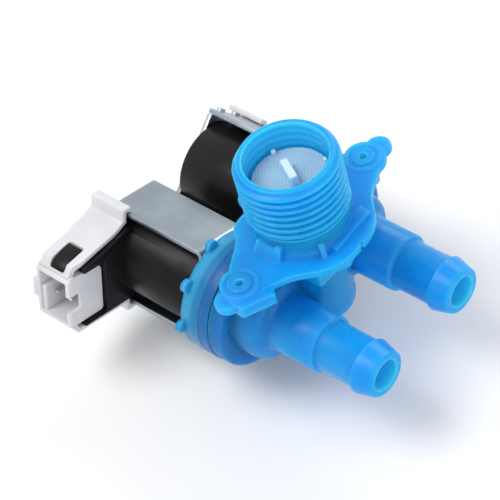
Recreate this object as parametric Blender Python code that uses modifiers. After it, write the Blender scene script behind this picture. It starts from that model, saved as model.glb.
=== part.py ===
"""Washing machine inlet valve with one threaded inlet, two solenoid valves and two hose outlets.

Frame: +Z is the inlet axis, pointing out of the inlet, +X is the way the outlets point, and the
origin is on the inlet axis at the faces of the two screw bosses. Units are metres.
"""
from math import cos, pi, radians, sin

import bmesh
import bpy
from mathutils import Matrix, Vector

MM = 0.001

# General
CLEARANCE = 0.3 * MM
BIG_STEPS = 32
SMALL_STEPS = 20

# Places of the main axes
OUTLET_PITCH = 30.6 * MM
VALVE_AXIS_DROP = 22.9 * MM
FRONT_SOLENOID_ANGLE = radians(163.35)
REAR_SOLENOID_ANGLE = radians(-51.3)

# Inlet neck, a 3/4 inch garden hose thread
NECK_HEIGHT = 22.7 * MM
NECK_BORE_RADIUS = 10.7 * MM
THREAD_RADIUS = 13.4 * MM
THREAD_DEPTH = 1.2 * MM
THREAD_END_Z = 4.6 * MM
RIM_CHAMFER = 0.3 * MM
COLLAR_RADIUS = 13.1 * MM

# Column under the neck
COLUMN_RADIUS = 8.8 * MM
COLUMN_BORE_RADIUS = 7.0 * MM
COLUMN_DEPTH_BELOW_AXIS = 10.6 * MM
COLUMN_FLOOR = 2.2 * MM
BORE_SHOULDER_Z = 1.0 * MM

# Mounting flange
BOSS_SPACING = 48.2 * MM
BOSS_RADIUS = 3.0 * MM
BOSS_RISE = 0.5 * MM
BOSS_DEPTH = 9.0 * MM
PILOT_RADIUS = 1.1 * MM
FLANGE_THICKNESS = 2.0 * MM
FLANGE_TIP_RADIUS = 5.4 * MM
FLANGE_TIP_OFFSET = 0.6 * MM
FLANGE_OUTLET_REACH = 18.0 * MM
FLANGE_OUTLET_FLAT = 3.6 * MM
FLANGE_COIL_REACH = 14.3 * MM
FLANGE_COIL_FLAT = 8.5 * MM
EAR_REACH = 19.3 * MM
EAR_RADIUS = 2.0 * MM
COLLAR_RING_RADIUS = 5.0 * MM
COLLAR_RING_WALL = 1.0 * MM
LUG_RADIUS = 3.4 * MM
LUG_REACH = 5.3 * MM
EDGE_RIB_DEPTH = 3.6 * MM
RIB_THICKNESS = 1.8 * MM

# Outlet barbs
OUTLET_END_X = 34.5 * MM
BARB_X = 29.0 * MM
BARB_RADIUS = 7.4 * MM
BARB_NOSE_RADIUS = 6.3 * MM
TUBE_RADIUS = 6.65 * MM
TUBE_SHOULDER_X = 16.7 * MM
ROOT_RADIUS = 7.75 * MM
OUTLET_BORE_RADIUS = 4.1 * MM

# Valve chambers
CHAMBER_RADIUS = 11.9 * MM
CHAMBER_WALL = 1.9 * MM
CHAMBER_NOSE_X = 2.0 * MM
RIM_RADIUS = 16.3 * MM
RIM_FRONT_X = -5.6 * MM
RIM_BACK_X = -9.5 * MM
SEAT_X = -7.2 * MM
SEAT_WALL = 1.4 * MM

# Diaphragms
DIAPHRAGM_RADIUS = 13.1 * MM
DIAPHRAGM_RIM = 1.1 * MM
DIAPHRAGM_WEB = 1.3 * MM
DIAPHRAGM_HOLE = 2.7 * MM
INSERT_RADIUS = 6.6 * MM
INSERT_PLATE = 1.2 * MM
INSERT_NIPPLE = 1.0 * MM
PILOT_HOLE_RADIUS = 0.5 * MM

# Bonnets with their guide tubes
BONNET_RADIUS = 16.6 * MM
BONNET_BACK_X = -19.0 * MM
BONNET_RIM_WALL = 2.2 * MM
BONNET_HUB_RADIUS = 9.6 * MM
BONNET_POCKET_RADIUS = 10.5 * MM
BONNET_POCKET_DEPTH = 4.4 * MM
GUIDE_BORE_RADIUS = 5.0 * MM
GUIDE_WALL = 0.8 * MM
SPRING_BORE_RADIUS = 3.9 * MM
TAB_COUNT = 5
TAB_RADIUS = 1.8 * MM
TAB_THICKNESS = 1.5 * MM
TAB_FIRST_ANGLE = radians(2)
TAB_STEP_ANGLE = radians(40)

# Armatures
ARMATURE_RADIUS = 4.7 * MM
ARMATURE_LENGTH = 27.8 * MM
ARMATURE_TRAVEL = 3.0 * MM
TIP_RADIUS = 2.0 * MM
TIP_LENGTH = 2.6 * MM
SPRING_RADIUS = 2.9 * MM
SPRING_WIRE = 0.5 * MM
SPRING_TURNS = 5
SPRING_POCKET_DEPTH = 6.0 * MM

# Yokes
YOKE_WIDTH = 15.5 * MM
YOKE_LENGTH = 33.3 * MM
YOKE_SHEET = 1.25 * MM
YOKE_BEND = 2.2 * MM
STAKE_SPACING = 7.0 * MM
STAKE_WIDTH = 2.4 * MM
STAKE_STAND = 0.8 * MM

# Coils
COIL_SHELL = 1.4 * MM
COIL_TO_YOKE = 0.85 * MM
WINDING_ROOM = 2.1 * MM
BOBBIN_CORE = 1.1 * MM
BOBBIN_FLANGE = 1.2 * MM
SLEEVE_WALL = 1.1 * MM
SLEEVE_LENGTH = 9.0 * MM
BLOCK_WIDTH = 12.8 * MM
BLOCK_REACH = 5.3 * MM

# Connectors
CONNECTOR_WIDTH = 12.0 * MM
CONNECTOR_CENTRE_X = -51.3 * MM
CONNECTOR_WALL = 1.2 * MM
STRAP_THICKNESS = 1.4 * MM
HOOK_LAP = 1.2 * MM
SHROUD_DEPTH = 12.0 * MM
SHROUD_A_SIDE = 4.8 * MM
SHROUD_B_SIDE = 10.3 * MM
WINDOW_WIDTH = 5.3 * MM
WINDOW_SIDE_SHIFT = 0.65 * MM
WINDOW_BACK_MARGIN = 3.1 * MM
WINDOW_MOUTH_MARGIN = 1.2 * MM
CATCH_STAND = 3.0 * MM
PIN_SPACING = 5.0 * MM
PIN_WIDTH = 1.2 * MM
PIN_THICKNESS = 0.8 * MM
PIN_LENGTH = 12.5 * MM
PIN_V = 4.2 * MM

# Inlet filter and flow regulator
FILTER_DISC_Z = 15.2 * MM
FILTER_DISC_RADIUS = 9.9 * MM
FILTER_WALL = 1.0 * MM
FILTER_TAB_HEIGHT = 6.6 * MM
FILTER_TAB_WIDTH = 2.6 * MM
REGULATOR_HEIGHT = 6.0 * MM
REGULATOR_FLOOR = 2.4 * MM
REGULATOR_WALL = 1.6 * MM
WASHER_THICKNESS = 2.6 * MM

# Values that follow from the ones above
AXIS_Z = -VALVE_AXIS_DROP
HALF_PITCH = OUTLET_PITCH / 2
THREAD_ROOT_RADIUS = THREAD_RADIUS - THREAD_DEPTH
FLANGE_TOP = -BOSS_RISE
FLANGE_BOTTOM = FLANGE_TOP - FLANGE_THICKNESS
CHAMBER_BORE_RADIUS = CHAMBER_RADIUS - CHAMBER_WALL
CHAMBER_FLOOR_X = CHAMBER_NOSE_X - CHAMBER_WALL - 1.1 * MM
DIAPHRAGM_POCKET_X = RIM_BACK_X - CLEARANCE + DIAPHRAGM_RIM + 2 * CLEARANCE
DIAPHRAGM_FACE_X = SEAT_X - CLEARANCE
DIAPHRAGM_BACK_X = DIAPHRAGM_FACE_X - DIAPHRAGM_WEB
INSERT_FACE_X = DIAPHRAGM_BACK_X - CLEARANCE
INSERT_BACK_X = INSERT_FACE_X - INSERT_PLATE
NIPPLE_X = INSERT_BACK_X - INSERT_NIPPLE
BONNET_FRONT_X = RIM_BACK_X - CLEARANCE
TIP_X = NIPPLE_X - CLEARANCE
ARMATURE_FRONT_X = TIP_X - 0.5 * MM
ARMATURE_BACK_X = ARMATURE_FRONT_X - ARMATURE_LENGTH
GUIDE_STOP_X = ARMATURE_BACK_X - ARMATURE_TRAVEL - CLEARANCE
GUIDE_RADIUS = GUIDE_BORE_RADIUS + GUIDE_WALL
YOKE_NEAR_X = BONNET_BACK_X - CLEARANCE
YOKE_FAR_X = YOKE_NEAR_X - YOKE_LENGTH
GUIDE_END_X = YOKE_FAR_X + CLEARANCE
GUIDE_FLOOR_X = GUIDE_END_X + 1.6 * MM
COIL_NEAR_X = YOKE_NEAR_X - YOKE_SHEET - CLEARANCE
COIL_FAR_X = YOKE_FAR_X + YOKE_SHEET + CLEARANCE
BOBBIN_BORE_RADIUS = GUIDE_RADIUS + SLEEVE_WALL + 2 * CLEARANCE
BOBBIN_RADIUS = BOBBIN_BORE_RADIUS + BOBBIN_CORE + WINDING_ROOM
COIL_BORE_RADIUS = BOBBIN_RADIUS + CLEARANCE
COIL_RADIUS = COIL_BORE_RADIUS + COIL_SHELL
YOKE_HEIGHT = 2 * (COIL_RADIUS + COIL_TO_YOKE + YOKE_SHEET)
BLOCK_FACE_W = COIL_RADIUS + BLOCK_REACH
YOKE_EDGE_W = YOKE_WIDTH / 2 + CLEARANCE
SHROUD_BACK_W = BLOCK_FACE_W + CLEARANCE
SHROUD_MOUTH_W = SHROUD_BACK_W + SHROUD_DEPTH
PIN_BASE_W = BLOCK_FACE_W - 3.5 * MM
WINDOW_CENTRE_X = CONNECTOR_CENTRE_X + WINDOW_SIDE_SHIFT
WINDOW_LOW_W = SHROUD_BACK_W + WINDOW_BACK_MARGIN
WINDOW_HIGH_W = SHROUD_MOUTH_W - WINDOW_MOUTH_MARGIN

BODY_BLUE = (0.02, 0.26, 0.80)
BONNET_TEAL = (0.06, 0.36, 0.66)
RUBBER_BLACK = (0.03, 0.03, 0.03)
COIL_BLACK = (0.012, 0.012, 0.014)
ZINC = (0.55, 0.58, 0.62)
STEEL = (0.60, 0.60, 0.60)
COPPER = (0.72, 0.33, 0.16)
TIN = (0.72, 0.70, 0.62)
CONNECTOR_WHITE = (0.80, 0.80, 0.83)
BOBBIN_GREY = (0.30, 0.30, 0.32)
FILTER_PALE = (0.45, 0.70, 0.90)
MESH_GREY = (0.40, 0.58, 0.68)
HOLDER_WHITE = (0.80, 0.82, 0.84)


def clear_scene():
    """Removes what a new file holds."""
    for obj in list(bpy.data.objects):
        bpy.data.objects.remove(obj, do_unlink=True)


def make_collection(name):
    """A new collection in the scene."""
    collection = bpy.data.collections.new(name)
    bpy.context.scene.collection.children.link(collection)
    return collection


clear_scene()
PARTS = make_collection("washing_machine_inlet_valve")
CUTTERS = make_collection("cutters")


def material(name, colour, roughness, metallic=0.0):
    """A plain Principled material."""
    mat = bpy.data.materials.new(name)
    mat.use_nodes = True
    shader = mat.node_tree.nodes["Principled BSDF"]
    shader.inputs["Base Color"].default_value = (*colour, 1.0)
    shader.inputs["Roughness"].default_value = roughness
    shader.inputs["Metallic"].default_value = metallic
    return mat


def empty(name, location, angle=0.0):
    """An empty that carries pieces, turned about X by the angle."""
    obj = bpy.data.objects.new(name, None)
    obj.location = location
    obj.rotation_euler = (angle, 0, 0)
    PARTS.objects.link(obj)
    return obj


def place(obj, parent=None, mat=None, cutter=False):
    """Links an object as a part or as a cutter."""
    if cutter:
        CUTTERS.objects.link(obj)
        obj.hide_render = True
        obj.display_type = "WIRE"
    else:
        PARTS.objects.link(obj)
        obj.data.materials.append(mat)
    if parent is not None:
        obj.parent = parent
    return obj


def smooth(obj, angle=35):
    """Smooth shading with sharp edges kept."""
    obj.data.shade_smooth()
    obj.data.set_sharp_from_angle(angle=radians(angle))


def turned(name, profile, along="X", steps=BIG_STEPS, closed=False, centre=(0, 0, 0), **links):
    """A turned piece. The profile holds (radius, place along the axis), outer side run downwards."""
    mesh = bpy.data.meshes.new(name)
    last = len(profile)
    edges = [(i, i + 1) for i in range(last - 1)]
    if closed:
        edges.append((last - 1, 0))
    mesh.from_pydata([(r, 0, h) for r, h in profile], edges, [])
    obj = bpy.data.objects.new(name, mesh)
    screw = obj.modifiers.new("turn", "SCREW")
    screw.steps = steps
    screw.render_steps = steps
    screw.use_merge_vertices = True
    screw.merge_threshold = 0.00001
    screw.use_smooth_shade = True
    obj.location = centre
    if along == "X":
        obj.rotation_euler = (0, pi / 2, 0)
    return place(obj, **links)


def outline_mesh(name, outline, thickness):
    """A flat outline in XY, thickened evenly to both sides along Z, as a welded mesh."""
    curve = bpy.data.curves.new(name, "CURVE")
    curve.dimensions = "2D"
    curve.fill_mode = "BOTH"
    curve.extrude = thickness / 2
    spline = curve.splines.new("POLY")
    spline.points.add(len(outline) - 1)
    for point, (u, v) in zip(spline.points, outline):
        point.co = (u, v, 0, 1)
    spline.use_cyclic_u = True
    guide = bpy.data.objects.new(name, curve)
    bpy.context.scene.collection.objects.link(guide)
    depsgraph = bpy.context.evaluated_depsgraph_get()
    mesh = bpy.data.meshes.new_from_object(guide.evaluated_get(depsgraph))
    bpy.data.objects.remove(guide, do_unlink=True)
    work = bmesh.new()
    work.from_mesh(mesh)
    bmesh.ops.remove_doubles(work, verts=work.verts, dist=0.000005)
    bmesh.ops.recalc_face_normals(work, faces=work.faces)
    work.to_mesh(mesh)
    work.free()
    return mesh


# Turns a mesh's own XYZ into Z, X, Y, so that an outline drawn in YZ is extruded along X
ALONG_X = Matrix(((0, 0, 1, 0), (1, 0, 0, 0), (0, 1, 0, 0), (0, 0, 0, 1)))


def slab_z(name, outline, bottom, top, **links):
    """An outline in XY between two heights."""
    mesh = outline_mesh(name, outline, top - bottom)
    mesh.transform(Matrix.Translation((0, 0, (top + bottom) / 2)))
    return place(bpy.data.objects.new(name, mesh), **links)


def slab_x(name, outline, start, end, **links):
    """An outline in YZ between two places along X."""
    mesh = outline_mesh(name, outline, end - start)
    mesh.transform(Matrix.Translation(((start + end) / 2, 0, 0)) @ ALONG_X)
    return place(bpy.data.objects.new(name, mesh), **links)


def disc(name, centre, radius, low, high, steps):
    """A round helper along Z with one flat face at each end."""
    outline = arc(centre, radius, 0, 360, steps)[:-1]
    return slab_z(name, outline, low, high, cutter=True)


def box(name, low, high, bevel=0.0, **links):
    """A box between two corners, with rounded edges if a bevel is given."""
    low = Vector(low)
    high = Vector(high)
    mesh = bpy.data.meshes.new(name)
    work = bmesh.new()
    bmesh.ops.create_cube(work, size=1)
    work.to_mesh(mesh)
    work.free()
    scale = Matrix.Diagonal((*(high - low), 1))
    mesh.transform(Matrix.Translation((low + high) / 2) @ scale)
    obj = bpy.data.objects.new(name, mesh)
    if bevel:
        add_bevel(obj, bevel)
    return place(obj, **links)


def add_bevel(obj, width, segments=2, angle=40):
    """Rounds the sharp edges of an object."""
    bevel = obj.modifiers.new("bevel", "BEVEL")
    bevel.width = width
    bevel.segments = segments
    bevel.limit_method = "ANGLE"
    bevel.angle_limit = radians(angle)


def strip(name, path, across, thickness, centre=0.0, **links):
    """A bent strip: a path of points, extruded both ways across and thickened to its inner side."""
    mesh = bpy.data.meshes.new(name)
    across = Vector(across)
    middle = across.normalized() * centre
    verts = [Vector(p) + middle - across / 2 for p in path]
    verts += [Vector(p) + middle + across / 2 for p in path]
    count = len(path)
    faces = [(i, i + 1, count + i + 1, count + i) for i in range(count - 1)]
    mesh.from_pydata(verts, [], faces)
    obj = bpy.data.objects.new(name, mesh)
    solid = obj.modifiers.new("sheet", "SOLIDIFY")
    solid.thickness = thickness
    solid.offset = -1
    solid.use_even_offset = True
    return place(obj, **links)


def boolean(obj, other, operation):
    """Adds one exact Boolean."""
    modifier = obj.modifiers.new(operation.lower() + "_" + other.name, "BOOLEAN")
    modifier.operation = operation
    modifier.solver = "EXACT"
    modifier.object = other


def join(obj, *others):
    """Unites an object with its helpers."""
    for other in others:
        boolean(obj, other, "UNION")


def cut(obj, *others):
    """Cuts an object with its cutters."""
    for other in others:
        boolean(obj, other, "DIFFERENCE")


def arc(centre, radius, start, end, count):
    """Points on an arc in a plane, angles in degrees."""
    points = []
    for i in range(count + 1):
        angle = radians(start + (end - start) * i / count)
        points.append((centre[0] + radius * cos(angle), centre[1] + radius * sin(angle)))
    return points


BLUE = material("body_blue", BODY_BLUE, 0.35)
TEAL = material("bonnet_teal", BONNET_TEAL, 0.35)
RUBBER = material("rubber", RUBBER_BLACK, 0.7)
COIL_PLASTIC = material("coil_black", COIL_BLACK, 0.4)
ZINC_PLATE = material("zinc_plate", ZINC, 0.35, 1.0)
STAINLESS = material("armature_steel", STEEL, 0.3, 1.0)
COPPER_WIRE = material("copper_wire", COPPER, 0.35, 1.0)
TINNED = material("tinned_brass", TIN, 0.3, 1.0)
WHITE_PLASTIC = material("connector_white", CONNECTOR_WHITE, 0.45)
GREY_PLASTIC = material("bobbin_grey", BOBBIN_GREY, 0.5)
PALE_PLASTIC = material("filter_pale", FILTER_PALE, 0.4)
MESH_CLOTH = material("filter_mesh", MESH_GREY, 0.6)
HOLDER_PLASTIC = material("holder_white", HOLDER_WHITE, 0.45)


def waisted(start, end, shape):
    """Points between two corners, given as shares of the way in x and in y."""
    return [(start[0] + (end[0] - start[0]) * x, start[1] + (end[1] - start[1]) * y) for x, y in shape]


def flange_outline():
    """Two waisted tips at the bosses and a blunt point at each long side."""
    centre = (FLANGE_TIP_OFFSET, BOSS_SPACING / 2)
    tip = FLANGE_TIP_RADIUS
    outlet_corner = (FLANGE_OUTLET_REACH, FLANGE_OUTLET_FLAT)
    outlet_end = (centre[0] + tip, centre[1])
    coil_corner = (-FLANGE_COIL_REACH, FLANGE_COIL_FLAT)
    coil_end = (centre[0] - tip, centre[1])
    side = waisted(outlet_corner, outlet_end, [(0, 0), (0.07, 0.16), (0.22, 0.32), (0.73, 0.6), (0.955, 0.89)])
    side += arc(centre, tip, -5, 188, 10)
    side += waisted(coil_corner, coil_end, [(0.48, 0.37), (0.12, 0.2), (0, 0)])
    mirrored = [(x, -y) for x, y in reversed(side)]
    return side + mirrored


def ear_outline():
    """The small rounded ear at the coil side of the flange."""
    middle = EAR_RADIUS - EAR_REACH
    root = COLLAR_RADIUS * 0.6
    round_end = arc((middle, -EAR_RADIUS), EAR_RADIUS, 110, 250, 6)
    return [(-root, 1.5 * EAR_RADIUS)] + round_end + [(-root, -3.5 * EAR_RADIUS)]


def edge_rib_outline():
    """The deeper stretch of the flange's edge beside the front boss, on the outlet side."""
    tip_y = -BOSS_SPACING / 2
    tip = FLANGE_TIP_RADIUS
    reach = FLANGE_TIP_OFFSET + tip
    near = FLANGE_TIP_OFFSET - 0.3 * tip
    return [
        (near, tip_y),
        (near, tip_y - 1.05 * tip),
        (reach - 0.07 * tip, tip_y - 1.1 * tip),
        (reach + 0.67 * tip, tip_y + 0.4 * tip),
        (reach, tip_y + 0.93 * tip),
    ]


def neck_profile():
    """Neck and column in one profile about Z, top to bottom."""
    bottom = AXIS_Z - COLUMN_DEPTH_BELOW_AXIS
    root = THREAD_ROOT_RADIUS
    return [
        (0, NECK_HEIGHT),
        (root - RIM_CHAMFER, NECK_HEIGHT),
        (root, NECK_HEIGHT - RIM_CHAMFER),
        (THREAD_RADIUS, NECK_HEIGHT - RIM_CHAMFER - THREAD_DEPTH),
        (THREAD_RADIUS, THREAD_END_Z + THREAD_DEPTH / 2),
        (root, THREAD_END_Z),
        (root, BORE_SHOULDER_Z + 0.6 * MM),
        (COLLAR_RADIUS, FLANGE_TOP + 0.4 * MM),
        (COLLAR_RADIUS, FLANGE_BOTTOM - 0.6 * MM),
        (COLUMN_RADIUS, FLANGE_BOTTOM - 1.4 * MM),
        (COLUMN_RADIUS, bottom + 4.4 * MM),
        (COLUMN_RADIUS - 1.3 * MM, bottom + 1.6 * MM),
        (COLUMN_RADIUS - 4.0 * MM, bottom),
        (0, bottom),
    ]


def inlet_bore_profile():
    """The inlet bore: wide in the neck, narrow in the column."""
    mouth_edge = 0.2 * MM
    floor = AXIS_Z - COLUMN_DEPTH_BELOW_AXIS + COLUMN_FLOOR
    return [
        (0, NECK_HEIGHT + 1 * MM),
        (NECK_BORE_RADIUS + mouth_edge + 1 * MM, NECK_HEIGHT + 1 * MM),
        (NECK_BORE_RADIUS, NECK_HEIGHT - mouth_edge),
        (NECK_BORE_RADIUS, BORE_SHOULDER_Z),
        (COLUMN_BORE_RADIUS, BORE_SHOULDER_Z),
        (COLUMN_BORE_RADIUS, floor + 1.5 * MM),
        (COLUMN_BORE_RADIUS - 1.5 * MM, floor),
        (0, floor),
    ]


def outlet_profile(stub):
    """Hose tail, chamber and rim of one valve, from the outlet end back to a stub that is cut off."""
    nose = BARB_NOSE_RADIUS
    return [
        (0, OUTLET_END_X),
        (nose - 0.6 * MM, OUTLET_END_X),
        (nose, OUTLET_END_X - 0.6 * MM),
        (BARB_RADIUS, BARB_X + 0.5 * MM),
        (BARB_RADIUS, BARB_X),
        (TUBE_RADIUS, BARB_X - 0.3 * MM),
        (TUBE_RADIUS, TUBE_SHOULDER_X + 0.4 * MM),
        (ROOT_RADIUS, TUBE_SHOULDER_X),
        (ROOT_RADIUS, CHAMBER_NOSE_X + 1.2 * MM),
        (ROOT_RADIUS + 1.2 * MM, CHAMBER_NOSE_X),
        (CHAMBER_RADIUS - 1.8 * MM, CHAMBER_NOSE_X - 0.5 * MM),
        (CHAMBER_RADIUS - 0.5 * MM, CHAMBER_NOSE_X - 1.6 * MM),
        (CHAMBER_RADIUS, CHAMBER_NOSE_X - 3.2 * MM),
        (CHAMBER_RADIUS, RIM_FRONT_X),
        (RIM_RADIUS - 0.5 * MM, RIM_FRONT_X),
        (RIM_RADIUS, RIM_FRONT_X - 0.5 * MM),
        (RIM_RADIUS, RIM_BACK_X - stub),
        (0, RIM_BACK_X - stub),
    ]


def chamber_profile():
    """The space round the seat, open at the rim, with the pocket for the diaphragm."""
    seat_outer = OUTLET_BORE_RADIUS + SEAT_WALL
    pocket = DIAPHRAGM_RADIUS + CLEARANCE
    behind = RIM_BACK_X - 2 * MM
    return [
        (0, SEAT_X),
        (seat_outer, SEAT_X),
        (seat_outer, CHAMBER_FLOOR_X),
        (CHAMBER_BORE_RADIUS, CHAMBER_FLOOR_X),
        (CHAMBER_BORE_RADIUS, DIAPHRAGM_POCKET_X),
        (pocket, DIAPHRAGM_POCKET_X),
        (pocket, behind),
        (0, behind),
    ]


def outlet_bore_profile():
    """The bore of one outlet, with a chamfered mouth."""
    bore = OUTLET_BORE_RADIUS
    mouth_edge = 0.3 * MM
    return [
        (0, OUTLET_END_X + 1 * MM),
        (bore + mouth_edge + 1 * MM, OUTLET_END_X + 1 * MM),
        (bore, OUTLET_END_X - mouth_edge),
        (bore, SEAT_X - 1 * MM),
        (0, SEAT_X - 1 * MM),
    ]


def tip_rib(name, side):
    """An upright rib from the column to a screw boss, under the flange."""
    near = side * (COLUMN_RADIUS - 1 * MM)
    far = side * (BOSS_SPACING / 2)
    top = FLANGE_BOTTOM + 0.4 * MM
    outline = [(near, top), (far, top), (far, top - 0.7 * BOSS_DEPTH), (near, top - BOSS_DEPTH)]
    return slab_x(name, outline, -RIB_THICKNESS / 2, RIB_THICKNESS / 2, cutter=True)


def make_body():
    """The moulded body: neck, flange, column, two chambers and two hose tails."""
    body = turned("valve_body", neck_profile(), along="Z", steps=BIG_STEPS, mat=BLUE)
    flange = slab_z("flange_plate", flange_outline(), FLANGE_BOTTOM, FLANGE_TOP, cutter=True)
    ear = slab_z("flange_ear", ear_outline(), FLANGE_BOTTOM + 0.2 * MM, FLANGE_TOP - 0.1 * MM, cutter=True)
    edge_rib = slab_z("edge_rib", edge_rib_outline(), FLANGE_TOP - EDGE_RIB_DEPTH, FLANGE_TOP - 0.1 * MM,
                      cutter=True)
    join(body, flange, ear, edge_rib)
    for label, side, stub in (("front", -1, 0.3 * MM), ("rear", 1, 0.6 * MM)):
        centre = (0, side * HALF_PITCH, AXIS_Z)
        join(body, turned(label + "_outlet", outlet_profile(stub), centre=centre, cutter=True))
    around = HALF_PITCH + 2 * BONNET_RADIUS
    behind_rim = box(
        "room_for_bonnets",
        (-around, -around, AXIS_Z - around),
        (RIM_BACK_X, around, AXIS_Z + BONNET_RADIUS + 0.5 * MM),
        cutter=True,
    )
    cut(body, behind_rim)
    for label, side in (("front", -1), ("rear", 1)):
        boss_y = side * BOSS_SPACING / 2
        join(body, tip_rib(label + "_tip_rib", side))
        boss_centre = (0, boss_y, 0)
        ring_out = COLLAR_RING_RADIUS
        ring_in = COLLAR_RING_RADIUS - COLLAR_RING_WALL
        ring_top = -0.1 * MM
        collar = [(ring_out, ring_top), (ring_out, FLANGE_BOTTOM + 0.4 * MM)]
        collar += [(ring_in, FLANGE_BOTTOM + 0.4 * MM), (ring_in, ring_top)]
        lug_centre = (FLANGE_TIP_OFFSET, boss_y + side * LUG_REACH)
        join(body, disc(label + "_lug", lug_centre, LUG_RADIUS, FLANGE_BOTTOM - 0.4 * MM,
                        FLANGE_TOP - 0.2 * MM, SMALL_STEPS))
        join(body, turned(label + "_collar_ring", collar, "Z", SMALL_STEPS, True, boss_centre, cutter=True))
        join(body, disc(label + "_boss", boss_centre, BOSS_RADIUS, -BOSS_DEPTH, 0, SMALL_STEPS))
    cut(body, turned("inlet_bore", inlet_bore_profile(), along="Z", cutter=True))
    for label, side in (("front", -1), ("rear", 1)):
        centre = (0, side * HALF_PITCH, AXIS_Z)
        pilot_end = -BOSS_DEPTH + 1.5 * MM
        pilot_centre = (0, side * BOSS_SPACING / 2)
        cut(body, turned(label + "_chamber", chamber_profile(), centre=centre, cutter=True))
        cut(body, turned(label + "_bore", outlet_bore_profile(), "X", SMALL_STEPS,
                         centre=centre, cutter=True))
        cut(body, disc(label + "_pilot", pilot_centre, PILOT_RADIUS, pilot_end, 1 * MM, 16))
    smooth(body)


def make_filter():
    """The inlet filter: a moulded cup with a mesh lid and a pull tab, and the parts under it."""
    wall_radius = FILTER_DISC_RADIUS - 0.4 * MM
    seat = BORE_SHOULDER_Z + CLEARANCE
    rim_z = seat + REGULATOR_HEIGHT + CLEARANCE
    outer = NECK_BORE_RADIUS - CLEARANCE
    lid_bottom = FILTER_DISC_Z - 1.6 * MM
    frame_profile = [
        (wall_radius, lid_bottom + 0.8 * MM),
        (wall_radius, rim_z + 1.2 * MM),
        (outer, rim_z + 1.2 * MM),
        (outer, rim_z),
        (wall_radius - FILTER_WALL, rim_z),
        (wall_radius - FILTER_WALL, lid_bottom + 0.8 * MM),
    ]
    frame = turned("inlet_filter_frame", frame_profile, "Z", closed=True, mat=PALE_PLASTIC)
    spoke = wall_radius - FILTER_WALL / 2
    half = 0.6 * MM
    bars = []
    for index, (x, y) in enumerate(((spoke, half), (half, spoke))):
        low = (-x, -y, lid_bottom - 0.6 * MM)
        high = (x, y, lid_bottom + 0.7 * MM)
        bars.append(box("filter_spoke_" + str(index), low, high, cutter=True))
    tab_half = FILTER_TAB_WIDTH / 2
    tab = box(
        "filter_pull_tab",
        (-0.5 * MM, -tab_half, lid_bottom),
        (0.5 * MM, tab_half, FILTER_DISC_Z + FILTER_TAB_HEIGHT),
        bevel=0.25 * MM,
        cutter=True,
    )
    join(frame, *bars, tab)
    smooth(frame)
    mesh_bottom = lid_bottom + 0.8 * MM + CLEARANCE
    slot_x = 0.5 * MM + CLEARANCE
    slot_y = tab_half + CLEARANCE
    lid = [(0, FILTER_DISC_Z), (FILTER_DISC_RADIUS, FILTER_DISC_Z)]
    lid += [(FILTER_DISC_RADIUS, mesh_bottom), (0, mesh_bottom)]
    disc = turned("inlet_filter_mesh", lid, "Z", mat=MESH_CLOTH)
    slot = box("tab_slot", (-slot_x, -slot_y, 0), (slot_x, slot_y, NECK_HEIGHT), cutter=True)
    cut(disc, slot)
    smooth(disc)
    holder_top = seat + REGULATOR_HEIGHT
    holder_floor = seat + REGULATOR_FLOOR
    pocket = outer - REGULATOR_WALL
    holder = turned("regulator_holder", [
        (outer, holder_top), (outer, seat), (3.2 * MM, seat), (3.2 * MM, holder_floor),
        (pocket, holder_floor), (pocket, holder_top),
    ], "Z", SMALL_STEPS, True, mat=HOLDER_PLASTIC)
    smooth(holder)
    washer_low = holder_floor + CLEARANCE
    washer_radius = pocket - CLEARANCE
    washer_high = washer_low + WASHER_THICKNESS
    washer = turned("regulator_washer", [
        (washer_radius - 0.3 * MM, washer_high), (washer_radius, washer_high - 0.3 * MM),
        (washer_radius, washer_low), (2.6 * MM, washer_low), (2.2 * MM, washer_high),
    ], "Z", SMALL_STEPS, True, mat=RUBBER)
    smooth(washer)


def diaphragm_profile():
    """Rubber diaphragm: clamped rim, one rolled fold and a thick centre with a hole."""
    rim_face = DIAPHRAGM_POCKET_X - CLEARANCE
    rim_back = rim_face - DIAPHRAGM_RIM
    fold = 0.5 * (CHAMBER_BORE_RADIUS + INSERT_RADIUS)
    skin = 0.5 * DIAPHRAGM_RIM
    back = DIAPHRAGM_BACK_X
    return [
        (DIAPHRAGM_RADIUS, rim_face),
        (DIAPHRAGM_RADIUS, rim_back),
        (CHAMBER_BORE_RADIUS + 0.4 * MM, rim_back),
        (fold + 0.9 * MM, rim_back + 0.2 * MM),
        (fold, rim_back + 0.9 * MM),
        (INSERT_RADIUS + 0.5 * MM, back),
        (DIAPHRAGM_HOLE, back),
        (DIAPHRAGM_HOLE, DIAPHRAGM_FACE_X),
        (INSERT_RADIUS, DIAPHRAGM_FACE_X),
        (fold, rim_back + 0.9 * MM + skin + 0.3 * MM),
        (fold + 0.9 * MM, rim_face + 0.1 * MM),
        (CHAMBER_BORE_RADIUS - 0.2 * MM, rim_face),
    ]


def insert_profile():
    """Plastic insert of a diaphragm: plate, nipple, stem and head, with the pilot hole."""
    stem = DIAPHRAGM_HOLE - CLEARANCE
    head = DIAPHRAGM_HOLE + 0.6 * MM
    head_back = DIAPHRAGM_FACE_X + CLEARANCE
    return [
        (head - 0.5 * MM, head_back + 1.0 * MM),
        (head, head_back + 0.4 * MM),
        (head, head_back),
        (stem, head_back),
        (stem, INSERT_FACE_X),
        (INSERT_RADIUS, INSERT_FACE_X),
        (INSERT_RADIUS, INSERT_BACK_X),
        (1.8 * MM, INSERT_BACK_X),
        (1.2 * MM, NIPPLE_X),
        (PILOT_HOLE_RADIUS, NIPPLE_X),
        (PILOT_HOLE_RADIUS, head_back + 1.0 * MM),
    ]


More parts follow.
